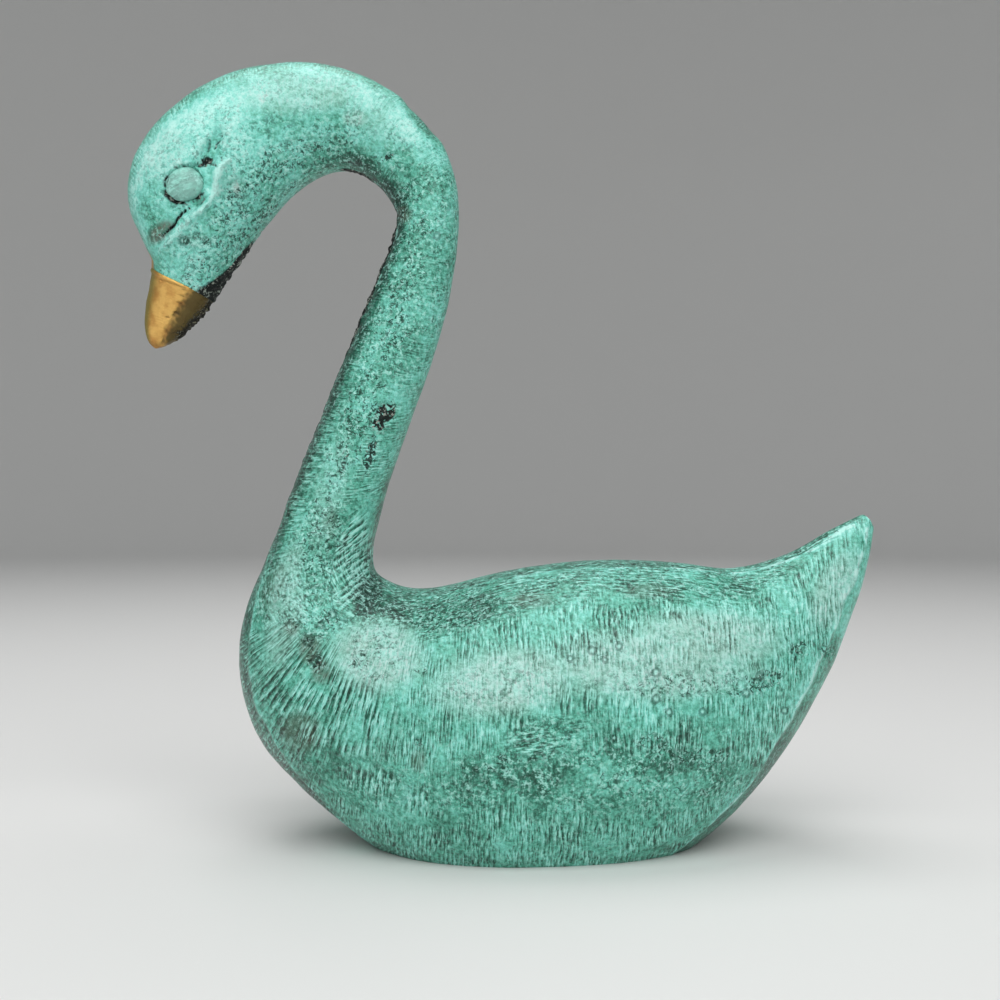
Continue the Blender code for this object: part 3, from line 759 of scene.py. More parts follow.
def relief(here, marks):
    """Height of the worked skin over the smooth one, in millimetres."""
    points = here.smooth
    height = sum(rise * noise_at(points, size, seed=size) for rise, size in LUMPS)
    strokes = noise_at(here.flow / STROKE_SIZE, 1.0, seed=3.3)
    height += STROKE_HEIGHT * strokes * (marks.crosswise + marks.coarse)
    height += STRIP_EDGE * marks.strip_edges - STRIP_DEPTH * (marks.back_strip + marks.belly_strip)
    throat, notch = swellings(here)
    height += np.interp(here.number, *TAIL_SWELL) + throat - notch
    height += marks.ridges - marks.grooves - marks.hollows
    height -= PIT_DEPTH * marks.pitted * (0.5 + noise_at(points, 0.9, seed=4.4))
    from_seam = here.from_belly / np.interp(here.number, *FLASH_WIDTH)
    marks.flash = soft_step(1.1, 0.6, from_seam) * np.interp(here.number, *FLASH)
    height += FLASH_HEIGHT * marks.flash * crust(points, 0.4, 1.3, 0.6)
    socket, marks.crevice, lid = eye_marks(points)
    return height + LID_HEIGHT * lid - CREVICE_DEPTH * marks.crevice - SOCKET_DEPTH * socket


test_relief = relief(test_survey, test_marks)
print("relief along the left flank:", round(test_relief.min(), 2), "to", round(test_relief.max(), 2), "mm")

# %% [markdown]
# ## Masks for the finish
# The same sums say where the finish is dark, stained or stippled, where it is worn pale or painted with a
# highlight, and where shade is painted in. They could be painted in a texture; here they are stored on the
# vertices, which are close enough together to hold them, and the material reads them by name.

# %% Masks for the finish
# painted light and shade among these: the crown lighter from the light above, its rim darker beside the
# painted highlight band, and the front of the neck, the throat and the low flank darker where shade falls; the
# ridges are paler partly from wear on the high spots and partly as painted highlight
TONES = {                          # what makes the green lighter or darker
    "back_strip": -0.12, "neck_front": -0.32, "low_flank": -0.06, "crown_rim": -0.14, "crown": 0.10,
    "cheek": 0.07, "ridges": 0.42, "hollows": -0.20, "throat": -0.13, "lengthwise": -0.05, "shaded": -0.13,
}
# painted shade: the filed strip darkens where it turns under the tail and along the front of the breast
STRIP_TONE = ((0.0, 2.2, 3.2, 6.0, 8.0, 13.0), (0.04, 0.02, -0.20, -0.20, -0.22, -0.22))
# painted highlight: how much the band over the crown and forehead is lightened, by rib
SHEEN_TONE = ((18.6, 19.4, 19.8, 20.8, 23.0), (0.18, 0.05, 0.05, 0.28, 0.24))
# painted highlight: the pale line where the raised edge of a filed strip catches the light
EDGE_TONE = 0.25
TAIL_EDGE_TONE = 0.30              # more than that under the tail
LOW_ROWS = (705, 765)              # painted shade: the flank darkens towards the bottom between these picture rows
HEAD_THROAT = 0.4                  # share of the throat's painted shade on the head
GILT_RIBS = 0.32                   # how far up the forehead the bare brass reaches, in ribs
GILT_TURN = 0.80                   # and how far round it
DARKNESS = {"grooves": 1.25, "flash": 0.95, "crevice": 0.95}


def shade_of(here, marks):
    """How light the green is, from 0 to 1, with painted light and shade added in."""
    zone = here.zone
    # the crown is lightened as painted light; the front of the neck, the low flank and the throat are darkened
    # as painted shade
    marks.crown = zone["crown"]
    marks.cheek = zone["face"] * zone["cheek"]
    marks.neck_front = zone["neck"] * zone["front"]
    marks.low_flank = zone["body"] * soft_step(*LOW_ROWS, here.seen[:, 1])
    marks.throat = (1.0 - zone["body"]) * zone["throat"] * (1.0 - (1.0 - HEAD_THROAT) * zone["head"])
    shade = 0.5 + sum(tone * getattr(marks, name) for name, tone in TONES.items())
    # painted shade on the lower part of the filed strip
    shade += np.interp(here.number, *STRIP_TONE) * marks.belly_strip
    # the painted highlight band
    shade += np.interp(here.number, *SHEEN_TONE) * marks.sheen
    # painted highlight along the edges of the filed strips
    shade += (EDGE_TONE + TAIL_EDGE_TONE * zone["tail"]) * marks.strip_edges
    return np.clip(shade, 0.0, 1.0)


def worked_skin(place, turn):
    """The skin with its relief in millimetres, and the masks that its finish reads."""
    here = survey(place, turn)
    marks = tool_masks(here)
    points = here.smooth + skin_normals(place, turn) * relief(here, marks)[:, None]
    dark = np.maximum.reduce([share * getattr(marks, name) for name, share in DARKNESS.items()])
    gilt = np.hypot((BEAK_RIB - here.number) / GILT_RIBS, here.from_back / GILT_TURN)
    gilt = soft_step(1.1, 0.85, gilt + 0.15 * noise_at(here.smooth, 1.2, seed=9.4))
    # pale wear and painted highlight, kept off the filed strip
    bloom = marks.bloom * (1.0 - marks.belly_strip)
    masks = {
        "flow": here.flow,
        # the tone in the fourth channel carries painted light and shade
        "tool": np.column_stack([marks.crosswise, marks.lengthwise, marks.stippled, shade_of(here, marks)]),
        # dark seams, pale wear with painted highlight, stains and bare brass
        "wear_and_painted_light": np.column_stack([np.clip(dark, 0.0, 1.0), bloom, marks.stain, gilt]),
        "grit": np.column_stack([marks.pitted, marks.blisters]),
        "coarse": marks.coarse,
    }
    return points, masks


_, test_masks = worked_skin(test_place, test_turn)
print("stored on the vertices:", ", ".join(test_masks))

# %% [markdown]
# ## Rolling up a skin
# A flat grid is the easiest mesh to count: its rows become places along the ribs and its columns turns round
# them. Rolled up, its two long edges meet on the belly line and are merged, and the ends are closed.

# %% Rolled grids
def rolled_grid(first, middle, last, along, around):
    """A flat grid to be rolled into a tube, half of it before middle, and its vertices' places and turns."""
    bm = bmesh.new()
    bmesh.ops.create_grid(bm, x_segments=along, y_segments=around, size=0.5)
    flat = np.array([vert.co[:2] for vert in bm.verts])
    share = (flat - flat.min(axis=0)) / (flat.max(axis=0) - flat.min(axis=0))
    place = np.interp(share[:, 0], (0.0, 0.5, 1.0), (first, middle, last))
    return bm, place, (share[:, 1] * 2.0 - 1.0) * math.pi


def roll_up(bm, points, masks):
    """Move the grid's vertices to their points, store the masks, and close the tube."""
    store = bm.verts.layers
    kinds = {1: store.float, 3: store.float_vector, 4: store.float_color}
    layers = {name: kinds[values.size // len(values)].new(name) for name, values in masks.items()}
    for vert, point in zip(bm.verts, (points * MM).tolist()):
        vert.co = point
    for name, layer in layers.items():
        for vert, value in zip(bm.verts, masks[name].tolist()):
            vert[layer] = value
    bmesh.ops.remove_doubles(bm, verts=bm.verts, dist=1e-7)
    open_edges = [edge for edge in bm.edges if edge.is_boundary]
    print("open edges closed:", len(open_edges))
    bmesh.ops.holes_fill(bm, edges=open_edges, sides=0)
    bmesh.ops.recalc_face_normals(bm, faces=bm.faces)


small_bm, _, _ = rolled_grid(0.0, 0.5, 1.0, 4, 3)
print("a grid of 4 by 3 faces has", len(small_bm.verts), "vertices")
small_bm.free()

# %% [markdown]
# ## Cutting and fitting
# The neck stands on the body on a sloping seat, held by a round tenon, so the seat gets its own
# directions. A flat cut could be a Boolean too, but `bisect_plane` is quicker and leaves a clean rim. Only
# the hollow, the hole and the tenon need Booleans.

# %% Cutting and fitting
SHARP_ANGLE = math.radians(60)     # edges sharper than this stay crisp
BAR_SIDES = 64
belly_x, belly_z, back_x, back_z, _ = ribs_at(PLACES[[NECK_RIB]])[0]
SEAT_MIDDLE = Vector(((belly_x + back_x) / 2, 0.0, (belly_z + back_z) / 2)) * MM
SEAT_ACROSS = Vector((back_x - belly_x, 0.0, back_z - belly_z)).normalized()
SEAT_NORMAL = SEAT_ACROSS.cross(Vector((0.0, 1.0, 0.0)))


def cut_flat(bm, place, outward):
    """Cut away what lies outward of a plane and close the cut."""
    everything = bm.verts[:] + bm.edges[:] + bm.faces[:]
    cut = bmesh.ops.bisect_plane(bm, geom=everything, plane_co=place, plane_no=outward, clear_outer=True)
    rim = [item for item in cut["geom_cut"] if isinstance(item, bmesh.types.BMEdge)]
    bmesh.ops.edgeloop_fill(bm, edges=rim)
    bmesh.ops.recalc_face_normals(bm, faces=bm.faces)


def round_bar(name, radius, low, high):
    """Round bar through the neck seat, low and high along the seat's normal, in millimetres."""
    bm = bmesh.new()
    turn = Matrix((SEAT_ACROSS, Vector((0.0, 1.0, 0.0)), SEAT_NORMAL)).transposed().to_4x4()
    raised = Matrix.Translation((0.0, 0.0, (low + high) / 2 * MM))
    bmesh.ops.create_cone(bm, cap_ends=True, segments=BAR_SIDES, radius1=radius * MM, radius2=radius * MM,
                          depth=(high - low) * MM, matrix=raised)
    bmesh.ops.transform(bm, matrix=Matrix.Translation(SEAT_MIDDLE) @ turn, verts=bm.verts)
    bmesh.ops.recalc_face_normals(bm, faces=bm.faces)
    return new_object(name, bm)


def carve(piece, operation, *tools):
    """Apply exact Booleans to a piece and remove the tools."""
    for tool in tools:
        step = piece.modifiers.new(tool.name, "BOOLEAN")
        step.operation = operation
        step.solver = "EXACT"
        step.object = tool
    graph = bpy.context.evaluated_depsgraph_get()
    carved = bpy.data.meshes.new_from_object(piece.evaluated_get(graph))
    piece.modifiers.clear()
    piece.data = carved
    for tool in tools:
        bpy.data.objects.remove(tool, do_unlink=True)


def finish_piece(piece, node):
    """Smooth shading with crisp sharp edges, the piece hung under the root, and the imported part that it
    stands for hidden.
    """
    piece.data.shade_smooth()
    piece.data.set_sharp_from_angle(angle=SHARP_ANGLE)
    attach(piece, "root")
    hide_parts(node)
    piece.data.calc_loop_triangles()
    print(piece.name, len(piece.data.loop_triangles), "triangles")


print("the neck's seat is at", np.round(np.array(SEAT_MIDDLE) / MM, 1), "mm")

# %% [markdown]
# ## The two halves of the body
# The body was cast as two shells that meet on the mid-plane. Here one closed body is rolled up and cut once
# for each half, and once more for the flat rim that it stands on. A coarser copy of the same ribs, set in by
# the wall, is then taken out of each half, because from below the figure is hollow.

# %% Body halves
WALL = 3.0
SEAT_THICKNESS = 4.0
TENON_DIAMETER = 9.0
FIT = 0.3                          # room round the tenon
HOLE_REACH = 20.0                  # the hole for the tenon is cut this far to both sides of the seat
SEAM = 0.03                        # half of the hairline between the shells
HOLLOW_FROM_RIB = 2.0              # the tail behind this rib is solid
BODY_GRID = (430, 330)
HOLLOW_GRID = (60, 48)


def body_hollow():
    """The space inside the shells, closed off under the neck's seat."""
    start = np.interp(HOLLOW_FROM_RIB, RIB_NUMBERS, PLACES)
    end = PLACES[NECK_RIB + 1]
    bm, place, turn = rolled_grid(start, (start + end) / 2, end, *HOLLOW_GRID)
    roll_up(bm, skin(place, turn, WALL), {})
    cut_flat(bm, SEAT_MIDDLE - SEAT_NORMAL * SEAT_THICKNESS * MM, SEAT_NORMAL)
    return new_object("hollow", bm)


body_bm, body_place, body_turn = rolled_grid(0.0, PLACES[NECK_RIB] / 2, PLACES[NECK_RIB], *BODY_GRID)
roll_up(body_bm, *worked_skin(body_place, body_turn))
body_pieces = []
for half, side in (("left", -1), ("right", 1)):
    half_bm = body_bm.copy()
    cut_flat(half_bm, (0.0, side * SEAM * MM, 0.0), (0.0, -side, 0.0))
    cut_flat(half_bm, (0.0, 0.0, 0.0), (0.0, 0.0, -1.0))
    piece = new_object(f"{half}_body_half", half_bm)
    hole = round_bar("hole", TENON_DIAMETER / 2 + FIT, -HOLE_REACH, HOLE_REACH)
    carve(piece, "DIFFERENCE", body_hollow(), hole)
    finish_piece(piece, f"body_{half}_shell")
    body_pieces.append(piece)
body_bm.free()

# %% [markdown]
# ## Neck and head
# The neck and head are one casting, so one rolled grid makes them, from the seat on the body to the seat of
# the beak. It ends on the very ring where the body ends, so the joint shows no more than it does on the
# real figure. Below the seat it carries the round tenon that holds it.

# %% Neck and head
HEAD_RIB = 19                      # half of the rows lie beyond this rib, for the face
NECK_GRID = (470, 198)
TENON_REACH = 8.75                 # below the seat
TENON_EMBED = 3.0                  # into the neck

neck_bm, neck_place, neck_turn = rolled_grid(*PLACES[[NECK_RIB, HEAD_RIB, BEAK_RIB]], *NECK_GRID)
roll_up(neck_bm, *worked_skin(neck_place, neck_turn))
neck = new_object("neck_with_head", neck_bm)
carve(neck, "UNION", round_bar("tenon", TENON_DIAMETER / 2, -TENON_REACH, TENON_EMBED))
finish_piece(neck, "neck_and_head")

# %% [markdown]
# ## The beak
# The beak is filed down to bright brass. A thin lip stands where it meets the head, the line of the mouth
# is cut along each side, and the underside is left black and rough from the mould. The cuts could be loops
# of edges; as heights on a fine grid they stay as soft and uneven as a file leaves them.

# %% Beak
GAPE = (                     # the mouth line: depth and half width in mm, then columns and rows
    (0.12, 0.30, (192, 287), (187, 295), (181, 304), (174, 316), (167, 330), (162, 343)),
)
NICKS = (                    # short cuts of the file beside it
    (0.22, 0.28, (174, 312), (178, 314)), (0.18, 0.25, (166, 317), (169, 318)),
    (0.15, 0.22, (180, 295), (184, 297)), (0.15, 0.22, (182, 289), (187, 291)),
    (0.15, 0.22, (177, 302), (182, 304)), (0.12, 0.2, (158, 279), (186, 288)),
)
GAPE_FADE = (-4.0, 5.0)      # pixels to each side of the mouth line
GAPE_RAGGED = 4.0            # pixels that the border of the lower jaw strays
LIP_HEIGHT = 0.22
LIP_WIDTH = 0.45
UNDER_WIDTH = 1.5            # of the black crust under the beak
UNDER_HEIGHT = 0.45
UNDER_START = (2.5, 7.0)     # millimetres from the tip between which the crust begins
JAW_INSET = 0.2              # the lower jaw lies this much deeper
BEAK_LUMP = 0.05
SMOOTH_TIP = (0.0, 1.5)      # millimetres from the tip between which the relief begins
BROWN_TIP = (3.0, 0.5)       # and between which the tip turns brown
CUT_DARKNESS = 2.5           # for each millimetre of depth
BEAK_GRID = (130, 150)


def beak_skin(place, turn):
    """The beak with its lip, mouth line and rough underside."""
    here = survey(place, turn)
    points = here.smooth
    to_tip = PLACES[-1] - place
    route = np.array(GAPE[0][2:], float)
    past_gape = here.seen[:, 0] - np.interp(here.seen[:, 1], route[:, 1], route[:, 0])
    below = soft_step(*GAPE_FADE, past_gape + GAPE_RAGGED * noise_at(points, 0.6, seed=1.7))
    under = hump(here.from_belly, UNDER_WIDTH) * soft_step(*UNDER_START, to_tip)
    cuts = lines(here.seen, GAPE) + lines(here.seen, NICKS)
    lip = hump(place - PLACES[BEAK_RIB] - LIP_WIDTH, LIP_WIDTH)
    throat, notch = swellings(here)
    height = BEAK_LUMP * noise_at(points, 2.5) + LIP_HEIGHT * lip * (1.0 - below) - JAW_INSET * below - cuts
    height += UNDER_HEIGHT * under * crust(points, 0.3, 1.0, 0.5) + throat
    height = height * soft_step(*SMOOTH_TIP, to_tip) - notch
    masks = {
        "flow": here.flow,
        # cuts, the olive top, the lower jaw with its painted shade, and the black underside
        "wear_and_painted_light": np.column_stack([np.clip(cuts * CUT_DARKNESS, 0.0, 0.8), here.zone["culmen"], below, under]),
        "tip": soft_step(*BROWN_TIP, to_tip),
    }
    return points + skin_normals(place, turn) * height[:, None], masks


beak_bm, beak_place, beak_turn = rolled_grid(PLACES[BEAK_RIB], PLACES[BEAK_RIB + 1], PLACES[-1], *BEAK_GRID)
roll_up(beak_bm, *beak_skin(beak_place, beak_turn))
beak = new_object("filed_beak", beak_bm)
finish_piece(beak, "beak")

# %% [markdown]
# ## The eyes
# A sphere, flattened to the bead's three sizes and turned to its socket. Noise keeps it from looking
# machined: two sizes of lumps, and long low wrinkles that lie along the closed lid.

# %% Eyes
EYE_LUMPS = ((0.04, 2.0), (0.03, 0.9))       # share of the bead's size, and size in mm
WRINKLE_HEIGHT = 0.035
WRINKLE_SIZE = (0.7, 3.5, 3.5)
WRINKLE_START = (11.3, 4.7, 2.9)             # any place in the noise
EYE_STROKED = 0.2
EYE_STIPPLED = 0.7
EYE_COARSE = 0.6
EYE_TONE = 0.25
EYE_LIT = 0.14                               # lighter by this much at its top
eye_pieces = []
for eye_name, (middle, long_way, up_way, outward) in EYES.items():
    eye_bm = bmesh.new()
    bmesh.ops.create_uvsphere(eye_bm, u_segments=96, v_segments=64, radius=1.0)
    ball = np.array([vert.co[:] for vert in eye_bm.verts])
    half_sizes = np.array([EYE_LENGTH, EYE_HEIGHT, EYE_THICKNESS]) / 2
    bead = (ball * half_sizes) @ np.array([long_way, up_way, outward]) + middle
    offset = (bead - middle) @ np.array([up_way, long_way, outward]).T + WRINKLE_START
    swell = 1.0 + sum(share * noise_at(bead, size) for share, size in EYE_LUMPS)
    swell += WRINKLE_HEIGHT * noise_at(offset / WRINKLE_SIZE, 1.0)
    bead = middle + (bead - middle) * swell[:, None]
    _, crevice = eye_distance(bead)
    sunk = soft_step(0.05, -0.3, ball[:, 2]) * crevice
    ones = np.ones(len(bead))
    roll_up(eye_bm, bead, {
        "flow": offset,
        "tool": np.column_stack([EYE_STROKED * ones, 0.0 * ones, EYE_STIPPLED * ones,
                                 EYE_TONE + EYE_LIT * ball[:, 1]]),
        "wear_and_painted_light": np.column_stack([sunk, 0.0 * ones, 0.0 * ones, 0.0 * ones]),
        "coarse": EYE_COARSE * ones,
    })
    eye_piece = new_object(f"{eye_name}_bead", eye_bm)
    finish_piece(eye_piece, eye_name)
    eye_pieces.append(eye_piece)

# %% [markdown]
# ## Building blocks for the finishes
# A finish is a tree of nodes, and most of them do one small sum. Here a wire stands for the output of a
# node, and the signs of arithmetic between wires add the Math nodes, so that a finish reads like a formula.
# Colours are written as they look on a screen, from 0 to 255.

# %% Node helpers
class Wire:
    """The output of a node, which can be added, subtracted, multiplied and divided."""

    def __init__(self, socket):
        self.socket = socket
        self.tree = socket.id_data

    def __add__(self, other):
        return reckon("ADD", self, other)

    def __sub__(self, other):
        return reckon("SUBTRACT", self, other)

    def __rsub__(self, other):
        return reckon("SUBTRACT", other, self)

    def __mul__(self, other):
        return reckon("MULTIPLY", self, other)

    def __truediv__(self, other):
        return reckon("DIVIDE", self, other)

    def __rtruediv__(self, other):
        return reckon("DIVIDE", other, self)

    __radd__ = __add__
    __rmul__ = __mul__


def join(value, socket):
    """Feed a socket from a wire, or set it to a plain value."""
    if isinstance(value, Wire):
        socket.id_data.links.new(value.socket, socket)
    else:
        socket.default_value = value


def wire(tree, kind, inputs, output=0, **settings):
    """New shader node with its settings made and its inputs fed, as the wire of one of its outputs."""
    made = tree.nodes.new("ShaderNode" + kind)
    for name, value in settings.items():
        setattr(made, name, value)
    for name, value in inputs.items():
        join(value, made.inputs[name])
    return Wire(made.outputs[output])


def outputs_of(made):
    """Wires of all the outputs of the node that a wire comes from."""
    return [Wire(socket) for socket in made.socket.node.outputs]


def reckon(operation, first, second=0.0):
    """One sum, as a Math node; at least one of the two values is a wire."""
    tree = (first if isinstance(first, Wire) else second).tree
    return wire(tree, "Math", {0: first, 1: second}, operation=operation)


def highest(first, second):
    """The larger of two values."""
    return reckon("MAXIMUM", first, second)


def swing(value, strength=1.0):
    """A value between 0 and 1 turned into a swing to both sides of 0."""
    return (value - 0.5) * strength


def fade(value, low, high):
    """0 below low and 1 above high, smooth between."""
    limits = {"Value": value, "From Min": low, "From Max": high}
    return wire(value.tree, "MapRange", limits, interpolation_type="SMOOTHSTEP")


def cloudy(place, scale, **settings):
    """Noise from 0 to 1; its scale is about how many lumps it has in one unit of the place."""
    return wire(place.tree, "TexNoise", {"Vector": place, "Scale": scale, **settings}, "Fac")


def paint(red, green, blue):
    """Colour written as on a screen, turned into the linear values that shaders use."""
    linear = [((part / 255 + 0.055) / 1.055) ** 2.4 for part in (red, green, blue)]
    return (*linear, 1.0)


def mix_colour(share, first, second):
    """From the first colour to the second as the share goes from 0 to 1."""
    return wire(share.tree, "Mix", {0: share, 6: first, 7: second}, 2, data_type="RGBA")


print("a middle grey is", round(paint(128, 128, 128)[0], 3), "in linear light")

# %% [markdown]
# ## Strokes of the hand
# Three effects make up the surface, and each is a group, made once and given its own sizes in each finish.
# Strokes are noise stretched a long way in one direction, so that it breaks up as a wire brush does, with an
# even wave laid over it for the teeth of a file. The hand presses unevenly, so the strokes come and go.

# %% Stroke group
FLOAT = "NodeSocketFloat"
VECTOR = "NodeSocketVector"
TEETH = 2.2                        # phase of the file's teeth for each spacing of the bristles
JITTER = 9.0                       # how far the bristles push the teeth about
TOOTH_HEIGHT = -0.4
PRESSURE_SCALE = (0.3, 0.22, 0.2)  # lumps to the millimetre along, round and through the body
STROKE_LINES = {                   # where the bristles and the teeth leave dark lines and pale ones
    "Dark": ((0.44, 0.34), (0.45, 0.95)), "Light": ((0.56, 0.66), (-0.3, -0.95)),
}


def new_group(name, inputs, outputs):
    """Empty node group, with the wires of its inputs and the sockets of its outputs."""
    group = bpy.data.node_groups.new(name, "ShaderNodeTree")
    for socket, kind in inputs.items():
        group.interface.new_socket(socket, in_out="INPUT", socket_type=kind)
    for socket in outputs:
        group.interface.new_socket(socket, in_out="OUTPUT", socket_type=FLOAT)
    source = group.nodes.new("NodeGroupInput")
    sink = group.nodes.new("NodeGroupOutput")
    return group, {socket: Wire(source.outputs[socket]) for socket in inputs}, sink.inputs


def hand_strokes():
    """Height of the strokes, and where their dark and pale lines run."""
    group, given, results = new_group(
        "hand_strokes", {"Flow": VECTOR, "Spacing": FLOAT, "Length": FLOAT, "Comb": FLOAT},
        ("Height", "Dark", "Light"))
    along, around, side = outputs_of(wire(group, "SeparateXYZ", {"Vector": given["Flow"]}))
    across = along / given["Spacing"]
    length = given["Length"]
    stretched = wire(group, "CombineXYZ", {"X": across, "Y": around / length, "Z": side / length})
    bristle = cloudy(stretched, 1.0, Detail=2.0, Roughness=0.62)
    broken = wire(group, "VectorMath", {0: given["Flow"], 1: PRESSURE_SCALE}, operation="MULTIPLY")
    pressure = fade(cloudy(broken, 1.0, Detail=2.0), 0.30, 0.60)
    tooth = reckon("SINE", across * TEETH + bristle * JITTER)
    raised = swing(fade(bristle, 0.34, 0.66)) + tooth * given["Comb"] * TOOTH_HEIGHT
    join(0.5 + raised * pressure, results["Height"])
    for name, (bristle_limits, tooth_limits) in STROKE_LINES.items():
        line = highest(fade(bristle, *bristle_limits), fade(tooth, *tooth_limits) * given["Comb"])
        join(line * pressure, results[name])
    return group


strokes_group = hand_strokes()
print(strokes_group.name, "has", len(strokes_group.nodes), "nodes")

# %% [markdown]
# ## Grain and pits of the mould
# Grain is a fine noise of which only the lowest and the highest parts show, as dark dots and pale ones. Pits
# follow the contour lines of a noise, which wriggle. Where the pitting is weak they break into short pieces,
# and where it is strong they widen and join.

# %% Grain and pit groups
GRAIN_DOTS = {"Dark": (0.47, 0.40), "Light": (0.55, 0.62)}
PIT_EDGES = {"Dark": (0.025, 0.0), "Light": (0.03, 0.09)}
PIT_CONTOUR = 0.48                 # the height in the noise whose contour the pits follow
PIT_WIDENING = 0.13


def cast_grain():
    """Height of the grain, and its dark and pale dots, thicker in some places than in others."""
    group, given, results = new_group(
        "cast_grain", {"Place": VECTOR, "Size": FLOAT}, ("Height", "Dark", "Light"))
    density = 1.0 / given["Size"]
    dots = cloudy(given["Place"], density, Detail=2.0, Roughness=0.65)
    busy = cloudy(given["Place"], density * 0.25, Detail=2.0)
    busy = 0.3 + fade(busy, 0.36, 0.60) * 0.7
    join(0.5 + swing(fade(dots, 0.30, 0.70)) * busy, results["Height"])
    for name, limits in GRAIN_DOTS.items():
        join(fade(dots, *limits) * busy, results[name])
    return group


def casting_pits():
    """Where the pits are, and the pale edges beside them."""
    group, given, results = new_group(
        "casting_pits", {"Place": VECTOR, "Size": FLOAT, "Strength": FLOAT}, ("Dark", "Light"))
    place = given["Place"]
    strength = given["Strength"]
    density = 1.0 / given["Size"]
    wriggle = cloudy(place, density, Detail=2.0, Roughness=0.6, Distortion=0.6)
    pitting = strength + swing(cloudy(place, density * 0.6), 0.9)
    from_contour = reckon("ABSOLUTE", wriggle - PIT_CONTOUR)
    gap = from_contour - pitting * pitting * PIT_WIDENING
    pieces = fade(cloudy(place, density * 1.6), 0.47, 0.57)
    pieces = highest(pieces, fade(strength, 0.55, 0.9))
    inside = fade(pitting, 0.18, 0.42) * fade(strength, 0.04, 0.25) * pieces
    for name, limits in PIT_EDGES.items():
        join(fade(gap, *limits) * inside, results[name])
    return group


grain_group = cast_grain()
pits_group = casting_pits()
print("groups:", strokes_group.name, grain_group.name, pits_group.name)

# %% [markdown]
# ## What every finish needs
# Each finish starts from a plain shader and measures its patterns in millimetres on the object. Where a
# pattern follows the form, it reads what the vertices hold. Heights go through a Bump node.

# %% Finish helpers
def new_finish(name):
    """Material with its node tree, the inputs of its shader, and object coordinates in millimetres."""
    material = bpy.data.materials.new(name)
    material.use_nodes = True
    tree = material.node_tree
    place = wire(tree, "TexCoord", {}, "Object")
    place = wire(tree, "VectorMath", {0: place, "Scale": 1.0 / MM}, operation="SCALE")
    return material, tree, tree.nodes["Principled BSDF"].inputs, place


def use_group(tree, group, **inputs):
    """A group placed in a finish, with the wires of its outputs by name."""
    made = tree.nodes.new("ShaderNodeGroup")
    made.node_tree = group
    for name, value in inputs.items():
        join(value, made.inputs[name])
    return {socket.name: Wire(socket) for socket in made.outputs}


def stored(tree, name, output):
    """What the vertices hold under a name."""
    return wire(tree, "Attribute", {}, output, attribute_name=name)


def stored_masks(tree, name):
    """The four masks that the vertices hold as one colour."""
    colour = stored(tree, name, "Color")
    alpha = Wire(colour.socket.node.outputs["Alpha"])
    return [*outputs_of(wire(tree, "SeparateColor", {"Color": colour})), alpha]


def emboss(shader, height):
    """Bumps on the surface from a height in millimetres."""
    bump = wire(height.tree, "Bump", {"Height": height, "Distance": MM, "Strength": 1.0}, "Normal")
    join(bump, shader["Normal"])


def dress(pieces, material):
    """Give pieces one finish."""
    for piece in pieces:
        piece.data.materials.clear()
        piece.data.materials.append(material)
    print(material.name, "on", [piece.name for piece in pieces])


print("one unit of a pattern is", MM, "metres")

# %% [markdown]
# ## The green patina
# Brass left to salt and vinegar grows a mottled green that looks part paint, part stone. A photograph could
# be wrapped round the figure, but a pattern made of nodes has no seams and can be changed. Its tone comes
# from slow mottling, fine mottling, the strokes and the tone held by the vertices, which carries painted light
# and shade, added together and read through a ramp of five greens. The masks on the vertices then pale the
# worn places and the painted highlights, let a little brown through, and darken the pits and the seam: weak
# pits are deep green, strong ones black, with painted glints in the black. The patina isn't metallic; a thin
# wax coat gives it its soft shine.

# %% Patina
GREENS = (                   # how light the tone is, and its green
    (0.00, paint(10, 48, 38)), (0.27, paint(46, 122, 100)), (0.50, paint(100, 190, 167)),
    (0.72, paint(130, 222, 207)), (1.00, paint(190, 246, 236)),
)
LINE_GREEN = paint(6, 62, 46)
LINE_PALE = paint(182, 244, 232)
PIT_BLACK = paint(10, 20, 18)
# painted glints in the black
PAINTED_GLINT_GREY = paint(176, 186, 174)
# pale grey of the worn places and of the painted highlight
WEAR_AND_HIGHLIGHT_GREY = paint(198, 217, 212)
STAIN_BROWN = paint(92, 74, 60)
GILT = paint(176, 138, 66)
CROSS_STROKES = {"Spacing": 0.30, "Length": 2.1}       # millimetres
BACK_STROKES = {"Spacing": 0.34, "Length": 1.6, "Comb": 0.2}
HEAVY_STROKES = {"Spacing": 0.58, "Length": 2.6, "Comb": 0.5}
GRAIN_SIZE = 0.66
PIT_SIZE = 0.95
GRAIN_PITTING = 0.28         # how strongly plain grain is pitted
RING_RADIUS = 1.1            # of a burst blister, as a share of its drawn radius
PATINA_ROUGHNESS = 0.36
WAX = 0.12
WAX_ROUGHNESS = 0.3
PATINA_SPECULAR = 0.35


def green_ramp(tone):
    """The green for a tone from 0 to 1."""
    ramp = wire(tone.tree, "ValToRGB", {"Fac": tone}, "Color")
    stops = ramp.socket.node.color_ramp.elements
    while len(stops) < len(GREENS):
        stops.new(0.5)
    for stop, (position, colour) in zip(stops, GREENS):
        stop.position = position
        stop.color = colour
    return ramp


